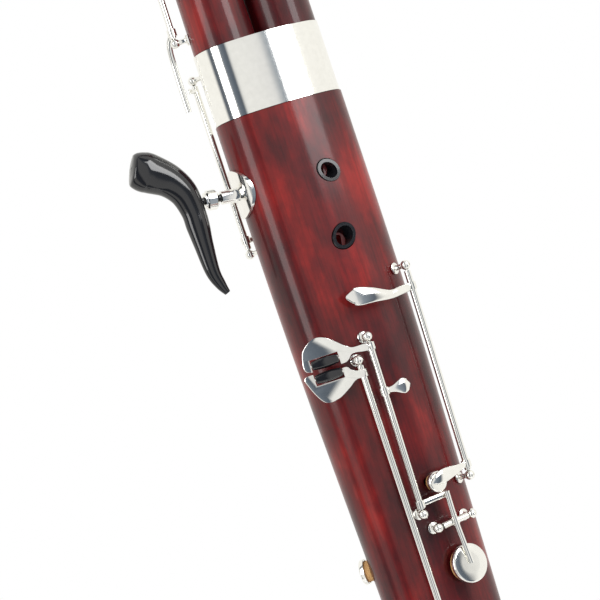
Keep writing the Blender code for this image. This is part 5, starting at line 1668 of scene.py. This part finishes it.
# %% Wing joint
WING_BAND_HEIGHT = 14.0 * MM
WING_HOLE = 2.6 * MM
BAND_WALL = 0.9 * MM
WING_BORE_TOP = 2.9 * MM
WING_BORE_FOOT = 4.6 * MM
BOCAL_CORK_RADIUS = 4.9 * MM
BOCAL_SEAT_DEPTH = 16.0 * MM
BOCAL_SOCKET = BOCAL_CORK_RADIUS + GAP
BAND_FOOT = WING_TOP - WING_BAND_HEIGHT
# Height of a finger hole as a share of the length, and how many millimetres higher it starts
# in the bore
FINGER_HOLES = ((0.64, 5.0), (0.56, 0.0), (0.48, -5.0))


def make_wing(cuts):
    tenon_foot = WING_FOOT - TENON_DEPTH
    rings = [circle(radius, height, BODY_SIDES, WING_AXIS)
             for radius, height in tenon(tenon_foot, WING_FOOT, WING_TENON, CORK_HEIGHT)]
    shares = [0.0] + [BULGE_START + BULGE_STEP * step for step in range(BULGE_RINGS)]
    shares += [BULGE_MIDDLE]
    shares += [BULGE_END - BULGE_RUN + BULGE_STEP * step for step in range(BULGE_RINGS)]
    rings += [wing_ring(wing_height(share), wing_bulge(share)) for share in shares]
    inside = wing_radius(BAND_FOOT) - BAND_WALL - GAP
    rings += [circle(wing_radius(BAND_FOOT), BAND_FOOT - GAP, BODY_SIDES, WING_AXIS),
              circle(inside, BAND_FOOT - GAP, BODY_SIDES, WING_AXIS),
              circle(inside, WING_TOP - BAND_WALL - GAP, BODY_SIDES, WING_AXIS)]
    axis = Vector((WING_AXIS, 0, 0))
    socket_foot = WING_TOP - BOCAL_SEAT_DEPTH - SOCKET_SPARE
    bores = [rod(axis + UP * (tenon_foot - MM), axis + UP * (socket_foot + MM), WING_BORE_FOOT, CUP_SIDES,
                 WING_BORE_TOP),
             rod(axis + UP * socket_foot, axis + UP * WING_TOP, BOCAL_SOCKET, CUP_SIDES)]
    reach = direction(WING_BULGE_ANGLE) * (WING_BULGE + WING_BULGE_RADIUS + 2 * MM)
    for share, slope in FINGER_HOLES:
        place = axis + UP * wing_height(share)
        bores.append(rod(place + UP * (slope * MM), place + reach, WING_HOLE))
    make("wing_joint", [loft(rings)], maple, cuts=bores + cuts)
    cork_ring("wing_tenon_cord", WING_AXIS, tenon_foot, WING_FOOT, WING_TENON, CORK_HEIGHT)


make_wing(wing_cuts)

# %% [markdown]
# The silver band at the wing's top is an angle ring: it goes round the wood and over its end.

# %% Band of the wing
BAND_ROUNDING = 0.5 * MM


def make_wing_band():
    outer = wing_radius(BAND_FOOT)
    profile = [(outer - BAND_WALL, BAND_FOOT), (outer, BAND_FOOT), (outer, WING_TOP - BAND_ROUNDING),
               (outer - BAND_ROUNDING, WING_TOP), (BOCAL_SOCKET, WING_TOP),
               (BOCAL_SOCKET, WING_TOP - BAND_WALL), (outer - BAND_WALL, WING_TOP - BAND_WALL)]
    make("wing_top_band", [turned(profile, BAND_SIDES, WING_AXIS, loop=True)], silver)


make_wing_band()

# %% [markdown]
# The bocal is the thin silver tube that carries the reed. A real one is rolled to a cone and
# bent, so its outside and its bore both narrow on the way. One sweep with an inner wall gives
# both. The nib with the vent is joined on, and a cork sleeve seats the bocal in the wing.

# %% Bocal
BOCAL_TIP_BORE = 1.3 * MM
BOCAL_END_BORE = 2.5 * MM
BOCAL_TIP_RADIUS = 2.0 * MM
NIB_RADIUS = 1.3 * MM
BOCAL_FOOT = WING_TOP - BOCAL_SEAT_DEPTH
# Places of its middle line from its foot, in millimetres
BOCAL_ROUTE = [(0, 0, 0), (0, 0, 21), (0, 0, 41), (-1, 3, 64), (-4, 14, 86), (-10, 36, 102),
               (-18, 66, 106), (-26, 98, 98), (-33, 128, 80), (-38, 152, 60)]
BOCAL_STEPS = 14                 # stations between two places
VENT_RADIUS = 0.5 * MM
CORK_RISE = 4 * MM               # cork above the wing


def make_bocal():
    base = Vector((WING_AXIS, 0, BOCAL_FOOT))
    points = through([base + Vector(place) * MM for place in BOCAL_ROUTE], BOCAL_STEPS)
    last = len(points) - 1
    stations, bores = [], []
    for index, point in enumerate(points):
        share = index / last
        radius = BOCAL_RADIUS + (BOCAL_TIP_RADIUS - BOCAL_RADIUS) * share
        stations.append((point, radius, radius))
        bores.append(BOCAL_END_BORE + (BOCAL_TIP_BORE - BOCAL_END_BORE) * share)
    nib_foot = Vector((WING_AXIS, 0, WING_TOP + NIB_RISE))
    out = direction(NIB_ANGLE)
    nib_tip = nib_foot + out * (BOCAL_RADIUS + NIB_LENGTH)
    nib = rod(nib_foot + out * (BOCAL_END_BORE + 0.3 * MM), nib_tip, NIB_RADIUS, POST_SIDES)
    vent = rod(nib_foot, nib_tip + out * MM, VENT_RADIUS, ROD_SIDES)
    make("bocal", [swept(stations, TUBE_SIDES, RIGHT, bores), nib], silver, cuts=[vent])
    profile = [(BOCAL_RADIUS + GAP, BOCAL_FOOT + MM), (BOCAL_CORK_RADIUS, BOCAL_FOOT + MM),
               (BOCAL_CORK_RADIUS, WING_TOP + CORK_RISE), (BOCAL_RADIUS + GAP, WING_TOP + CORK_RISE)]
    make("bocal_cork", [turned(profile, CUP_SIDES, WING_AXIS, loop=True)], cork)


make_bocal()

# %% [markdown]
# The long joint stands in the large bore beside the wing and carries the keys of the three
# lowest notes, which all stand open. A row gives the angle of a key's hinge, the heights of its
# two posts, touch and hole as shares of the joint, and the angle of the hole.

# %% Keys of the long joint
LONG_LENGTH = 430.0 * MM
LONG_TOP_RADIUS = 13.0 * MM
LONG_TOP = WING_FOOT + LONG_LENGTH
LONG_KEY_OPEN = 5.0              # degrees from closed at which it stands
LONG_PAD_RADIUS = 6.0 * MM
LONG_HOLE_RADIUS = 4.2 * MM
LONG_TOUCH_ANGLE = 176
LONG_KEYS = [("low_d_key", 125, 0.13, 0.335, 0.315, 0.165, 178),
             ("low_c_key", 125, 0.395, 0.68, 0.415, 0.65, 178),
             ("low_b_key", 95, 0.35, 0.945, 0.366, 0.915, 160)]


def long_radius(height):
    share = (height - WING_FOOT) / LONG_LENGTH
    return TUBE_RADIUS + (LONG_TOP_RADIUS - TUBE_RADIUS) * share


def long_seat(height, angle):
    bend = long_radius(height)
    normal = direction(angle)
    return Seat(Vector((LONG_AXIS, 0, height)) + normal * bend, normal, bend)


def long_height(share):
    return WING_FOOT + LONG_LENGTH * share


def long_joint_keys():
    """The three open keys of the lowest notes. It returns the long joint's cutters."""
    cuts = []
    for name, angle, low, high, touch, place, pad_angle in LONG_KEYS:
        hinge = Hinge(long_seat(long_height(low), angle), long_seat(long_height(high), angle))
        middle = Vector((LONG_AXIS, 0, long_height(place)))
        cuts += tube_key(name, hinge, long_seat(long_height(touch), LONG_TOUCH_ANGLE),
                         long_seat(long_height(place), pad_angle), LONG_PAD_RADIUS, -LONG_KEY_OPEN,
                         (LONG_HOLE_RADIUS, middle))
    return cuts


long_cuts = long_joint_keys()
print("cuts in the long joint", len(long_cuts))

# %% [markdown]
# The long joint is round all the way, so it is one turned profile with a tenon at each end. The
# upper tenon is the lower one's profile upside down.

# %% Long joint
LONG_BORE_FOOT = 7.8 * MM
LONG_BORE_TOP = 9.6 * MM
BELL_TENON = 11.3 * MM
BELL_TENON_DEPTH = 20.0 * MM
BELL_CORK_HEIGHT = 13.0 * MM


def make_long_joint(cuts):
    tenon_foot = WING_FOOT - TENON_DEPTH
    profile = tenon(tenon_foot, WING_FOOT, LONG_TENON, CORK_HEIGHT)
    profile += [(TUBE_RADIUS, WING_FOOT), (LONG_TOP_RADIUS, LONG_TOP)]
    top = LONG_TOP + BELL_TENON_DEPTH
    profile += [(radius, LONG_TOP + top - height)
                for radius, height in tenon(LONG_TOP, top, BELL_TENON, BELL_CORK_HEIGHT)[::-1]]
    bore = rod(Vector((LONG_AXIS, 0, tenon_foot - MM)), Vector((LONG_AXIS, 0, top + MM)),
               LONG_BORE_FOOT, BODY_SIDES, LONG_BORE_TOP)
    make("long_joint", [turned(profile, BODY_SIDES, LONG_AXIS)], maple, cuts=[bore] + cuts)
    cork_ring("long_tenon_cord", LONG_AXIS, tenon_foot, WING_FOOT, LONG_TENON, CORK_HEIGHT)
    cork_ring("long_top_tenon_cord", LONG_AXIS, LONG_TOP, top, BELL_TENON, BELL_CORK_HEIGHT)


make_long_joint(long_cuts)

# %% [markdown]
# The bell swells a little over its socket, draws in to a waist and opens towards its mouth. Its
# outline is a half wave, then a power curve, written as one function of the height, so that
# its shape can be changed in one place.

# %% Outline of the bell
BELL_LENGTH = 240.0 * MM
BELL_FOOT_RADIUS = 15.2 * MM
BELL_WAIST_RADIUS = 13.9 * MM
BELL_MOUTH_RADIUS = 17.4 * MM
BELL_MOUTH_BORE = 13.6 * MM
BELL_RING_HEIGHT = 14.0 * MM
BELL_RING_LIP = 1.2 * MM
BELL_BAND_HEIGHT = 12.0 * MM
BELL_BORE_FOOT = 9.9 * MM
BELL_FOOT = LONG_TOP + GAP
BELL_TOP = BELL_FOOT + BELL_LENGTH
WAIST_SHARE = 0.45               # height of the waist as a share of the bell
SWELL = 0.5 * MM
FLARE_POWER = 1.6
BAND_TOP = BELL_FOOT + BELL_BAND_HEIGHT
RING_FOOT = BELL_TOP - BELL_RING_HEIGHT


def bell_outer(share):
    """Outer radius of the bell, from its band at 0 to its ring at 1."""
    lower = min(share / WAIST_SHARE, 1.0)
    bulge = math.sin(math.pi * lower) * SWELL
    flare = max(share - WAIST_SHARE, 0.0) / (1 - WAIST_SHARE)
    waist = BELL_FOOT_RADIUS + (BELL_WAIST_RADIUS - BELL_FOOT_RADIUS) * lower
    return waist + bulge + (BELL_MOUTH_RADIUS - BELL_WAIST_RADIUS) * flare ** FLARE_POWER


print("whole instrument", round(BELL_TOP, 4), "tall")

# %% [markdown]
# The profile goes up outside, over the rim and down the bore to the socket, so one turning gives
# the whole bell with its hollow.

# %% Bell
BELL_STEPS = 40
BORE_STEPS = 4
BORE_POWER = 1.3


def make_bell():
    band_room = BELL_FOOT_RADIUS - BAND_WALL - GAP
    ring_room = BELL_MOUTH_RADIUS - BAND_WALL - GAP
    wood_top = BELL_TOP - BELL_RING_LIP - GAP
    socket = BELL_TENON + TENON_CLEARANCE
    socket_top = BELL_FOOT + BELL_TENON_DEPTH + SOCKET_SPARE
    low, high = BAND_TOP + GAP, RING_FOOT - GAP
    profile = [(socket, BELL_FOOT), (band_room, BELL_FOOT), (band_room, low)]
    for step in range(BELL_STEPS + 1):
        share = step / BELL_STEPS
        profile.append((bell_outer(share), low + (high - low) * share))
    profile += [(ring_room, high), (ring_room, wood_top), (BELL_MOUTH_BORE, wood_top)]
    for step in range(1, BORE_STEPS + 1):
        share = 1 - step / BORE_STEPS
        height = socket_top + (wood_top - socket_top) * share
        bore = BELL_BORE_FOOT + (BELL_MOUTH_BORE - BELL_BORE_FOOT) * share ** BORE_POWER
        profile.append((bore, height))
    profile.append((socket, socket_top))
    make("bell", [turned(profile, BODY_SIDES, LONG_AXIS, loop=True)], maple)


make_bell()

# %% [markdown]
# Two silver rings keep the bell from splitting: a plain band round its socket and a ring with a
# lip over its mouth.

# %% Band and ring of the bell
RING_ROUNDING = 0.7 * MM


def make_bell_metal():
    inner = BELL_FOOT_RADIUS - BAND_WALL
    band = [(inner, BELL_FOOT), (BELL_FOOT_RADIUS, BELL_FOOT), (BELL_FOOT_RADIUS, BAND_TOP),
            (inner, BAND_TOP)]
    make("bell_band", [turned(band, BAND_SIDES, LONG_AXIS, loop=True)], silver)
    inner = BELL_MOUTH_RADIUS - BAND_WALL
    under_lip = BELL_TOP - BELL_RING_LIP
    ring = [(inner, RING_FOOT), (BELL_MOUTH_RADIUS, RING_FOOT),
            (BELL_MOUTH_RADIUS, BELL_TOP - RING_ROUNDING),
            (BELL_MOUTH_RADIUS - RING_ROUNDING, BELL_TOP), (BELL_MOUTH_BORE, BELL_TOP),
            (BELL_MOUTH_BORE, under_lip), (inner, under_lip)]
    make("bell_ring", [turned(ring, BAND_SIDES, LONG_AXIS, loop=True)], silver)


make_bell_metal()

# %% [markdown]
# The instrument stands on a small pale disc. The background is white by itself, so the floor
# needs to be no larger than the shadow that it catches.

# %% Floor
FLOOR_RADIUS = 0.14
FLOOR_TOP = -0.0003              # just under the cap
FLOOR_FOOT = -0.006
FLOOR_SIDES = 128


def make_floor():
    material, nodes, links, shader = new_finish("floor_white")
    shader.inputs["Base Color"].default_value = (0.9, 0.9, 0.9, 1.0)
    shader.inputs["Roughness"].default_value = 0.6
    disc = turned([(FLOOR_RADIUS, FLOOR_FOOT), (FLOOR_RADIUS, FLOOR_TOP)], FLOOR_SIDES)
    floor = bpy.data.objects.new("floor", mesh_from(disc))
    floor.data.materials.append(material)
    bpy.context.collection.objects.link(floor)
    floor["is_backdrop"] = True


make_floor()
print("floor radius", FLOOR_RADIUS)

# %% [markdown]
# Polished silver shows what stands round it. In a plain white room it would look like white
# paint, so photographers hang dark strips, called flags, beside it. Here the flags are bands of
# a colour ramp round the horizon: the angle of a direction is its place in the ramp. The camera
# itself sees plain white.

# %% Surround
# Tones round the horizon: 0 and 1 in front, 0.25 at the left, 0.5 behind and 0.75 at the right
SURROUND_STRIPS = [
    (0.00, (0.85, 0.85, 0.84)), (0.055, (0.9, 0.9, 0.88)), (0.075, (0.09, 0.11, 0.14)),
    (0.125, (0.16, 0.19, 0.23)), (0.145, (0.95, 0.94, 0.9)), (0.19, (0.95, 0.94, 0.9)),
    (0.21, (0.10, 0.12, 0.15)), (0.235, (0.10, 0.12, 0.15)), (0.26, (1.0, 0.99, 0.95)),
    (0.88, (1.0, 0.99, 0.95)), (0.90, (0.08, 0.10, 0.13)), (0.955, (0.25, 0.29, 0.34)),
    (0.975, (0.8, 0.8, 0.8)), (1.0, (0.85, 0.85, 0.84)),
]


def make_surround():
    world = bpy.data.worlds.new("surround")
    bpy.context.scene.world = world
    world.use_nodes = True
    nodes, links = world.node_tree.nodes, world.node_tree.links
    nodes.clear()
    output = nodes.new("ShaderNodeOutputWorld")
    background = nodes.new("ShaderNodeBackground")
    light_path = nodes.new("ShaderNodeLightPath")
    place = nodes.new("ShaderNodeTexCoord")
    split = nodes.new("ShaderNodeSeparateXYZ")
    links.new(place.outputs["Generated"], split.inputs["Vector"])
    turn = nodes.new("ShaderNodeMath")
    turn.operation = "ARCTAN2"
    links.new(split.outputs["X"], turn.inputs[0])
    links.new(split.outputs["Y"], turn.inputs[1])
    share = nodes.new("ShaderNodeMath")
    share.operation = "MULTIPLY_ADD"
    share.inputs[1].default_value = 1 / math.tau
    share.inputs[2].default_value = 0.5
    links.new(turn.outputs[0], share.inputs[0])
    strips = ramp_of(nodes, links, share.outputs[0], SURROUND_STRIPS)
    mix = nodes.new("ShaderNodeMix")
    mix.data_type = "RGBA"
    links.new(light_path.outputs["Is Camera Ray"], mix.inputs["Factor"])
    links.new(strips, mix.inputs["A"])
    mix.inputs["B"].default_value = (1.0, 1.0, 1.0, 1.0)
    links.new(mix.outputs["Result"], background.inputs["Color"])
    background.inputs["Strength"].default_value = 1.0
    links.new(background.outputs["Background"], output.inputs["Surface"])


make_surround()
print("surround strips", len(SURROUND_STRIPS))

# %% [markdown]
# Two large soft lights add form: a stronger one from the right and a weaker one from the left.
# Large lamps near the object give soft edges to shadows, which small ones can't.

# %% Lights
LIT_PLACE = (0, 0, 0.22)         # the part of the boot that the picture shows


def soft_light(name, place, target, width, height, power):
    data = bpy.data.lights.new(name, "AREA")
    data.shape = "RECTANGLE"
    data.size = width
    data.size_y = height
    data.energy = power
    lamp = bpy.data.objects.new(name, data)
    lamp.location = place
    lamp.rotation_euler = (Vector(target) - Vector(place)).to_track_quat("-Z", "Y").to_euler()
    bpy.context.collection.objects.link(lamp)


soft_light("key_light", (0.55, -0.9, 0.75), LIT_PLACE, 0.5, 0.9, 9.0)
soft_light("fill_light", (-0.9, -0.5, 0.5), LIT_PLACE, 0.4, 0.9, 4.0)
print("lights", [item.name for item in bpy.data.lights])

# %% [markdown]
# The camera looks level at the boot from the left of its front, and leans so that the
# instrument crosses the picture from upper left to lower right. Its axes are written out as a
# matrix, because turning it by three angles in a row is harder to follow.

# %% Camera
VIEW_TURN = math.radians(19.0)   # to the left of the front
VIEW_LEAN = math.radians(18.4)
VIEW_DISTANCE = 0.7025
VIEW_SIDE = -0.0165
VIEW_HEIGHT = 0.2213
LENS = 102.0

ahead = Vector((math.sin(VIEW_TURN), math.cos(VIEW_TURN), 0))
level_right = Vector((math.cos(VIEW_TURN), -math.sin(VIEW_TURN), 0))
picture_right = level_right * math.cos(VIEW_LEAN) - UP * math.sin(VIEW_LEAN)
picture_up = level_right * math.sin(VIEW_LEAN) + UP * math.cos(VIEW_LEAN)
camera_data = bpy.data.cameras.new("camera")
camera_data.lens = LENS
camera_data.sensor_width = 36.0
camera_data.clip_start = 0.01
camera = bpy.data.objects.new("camera", camera_data)
bpy.context.collection.objects.link(camera)
place = Vector((0, 0, VIEW_HEIGHT)) + level_right * VIEW_SIDE - ahead * VIEW_DISTANCE
turn = Matrix((picture_right, picture_up, -ahead)).transposed().to_4x4()
camera.matrix_world = Matrix.Translation(place) @ turn
scene = bpy.context.scene
scene.camera = camera
scene.view_settings.view_transform = "Standard"
print("camera at", [round(value, 3) for value in place])

# %% Finish
box_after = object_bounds()


def plain(value):
    """Numbers and lists alone, ready for a file."""
    if isinstance(value, (int, float)):
        return round(float(value), 6)
    return [plain(item) for item in value]


{"before": plain(box_before), "after": plain(box_after)}
print("size", plain(box_after))
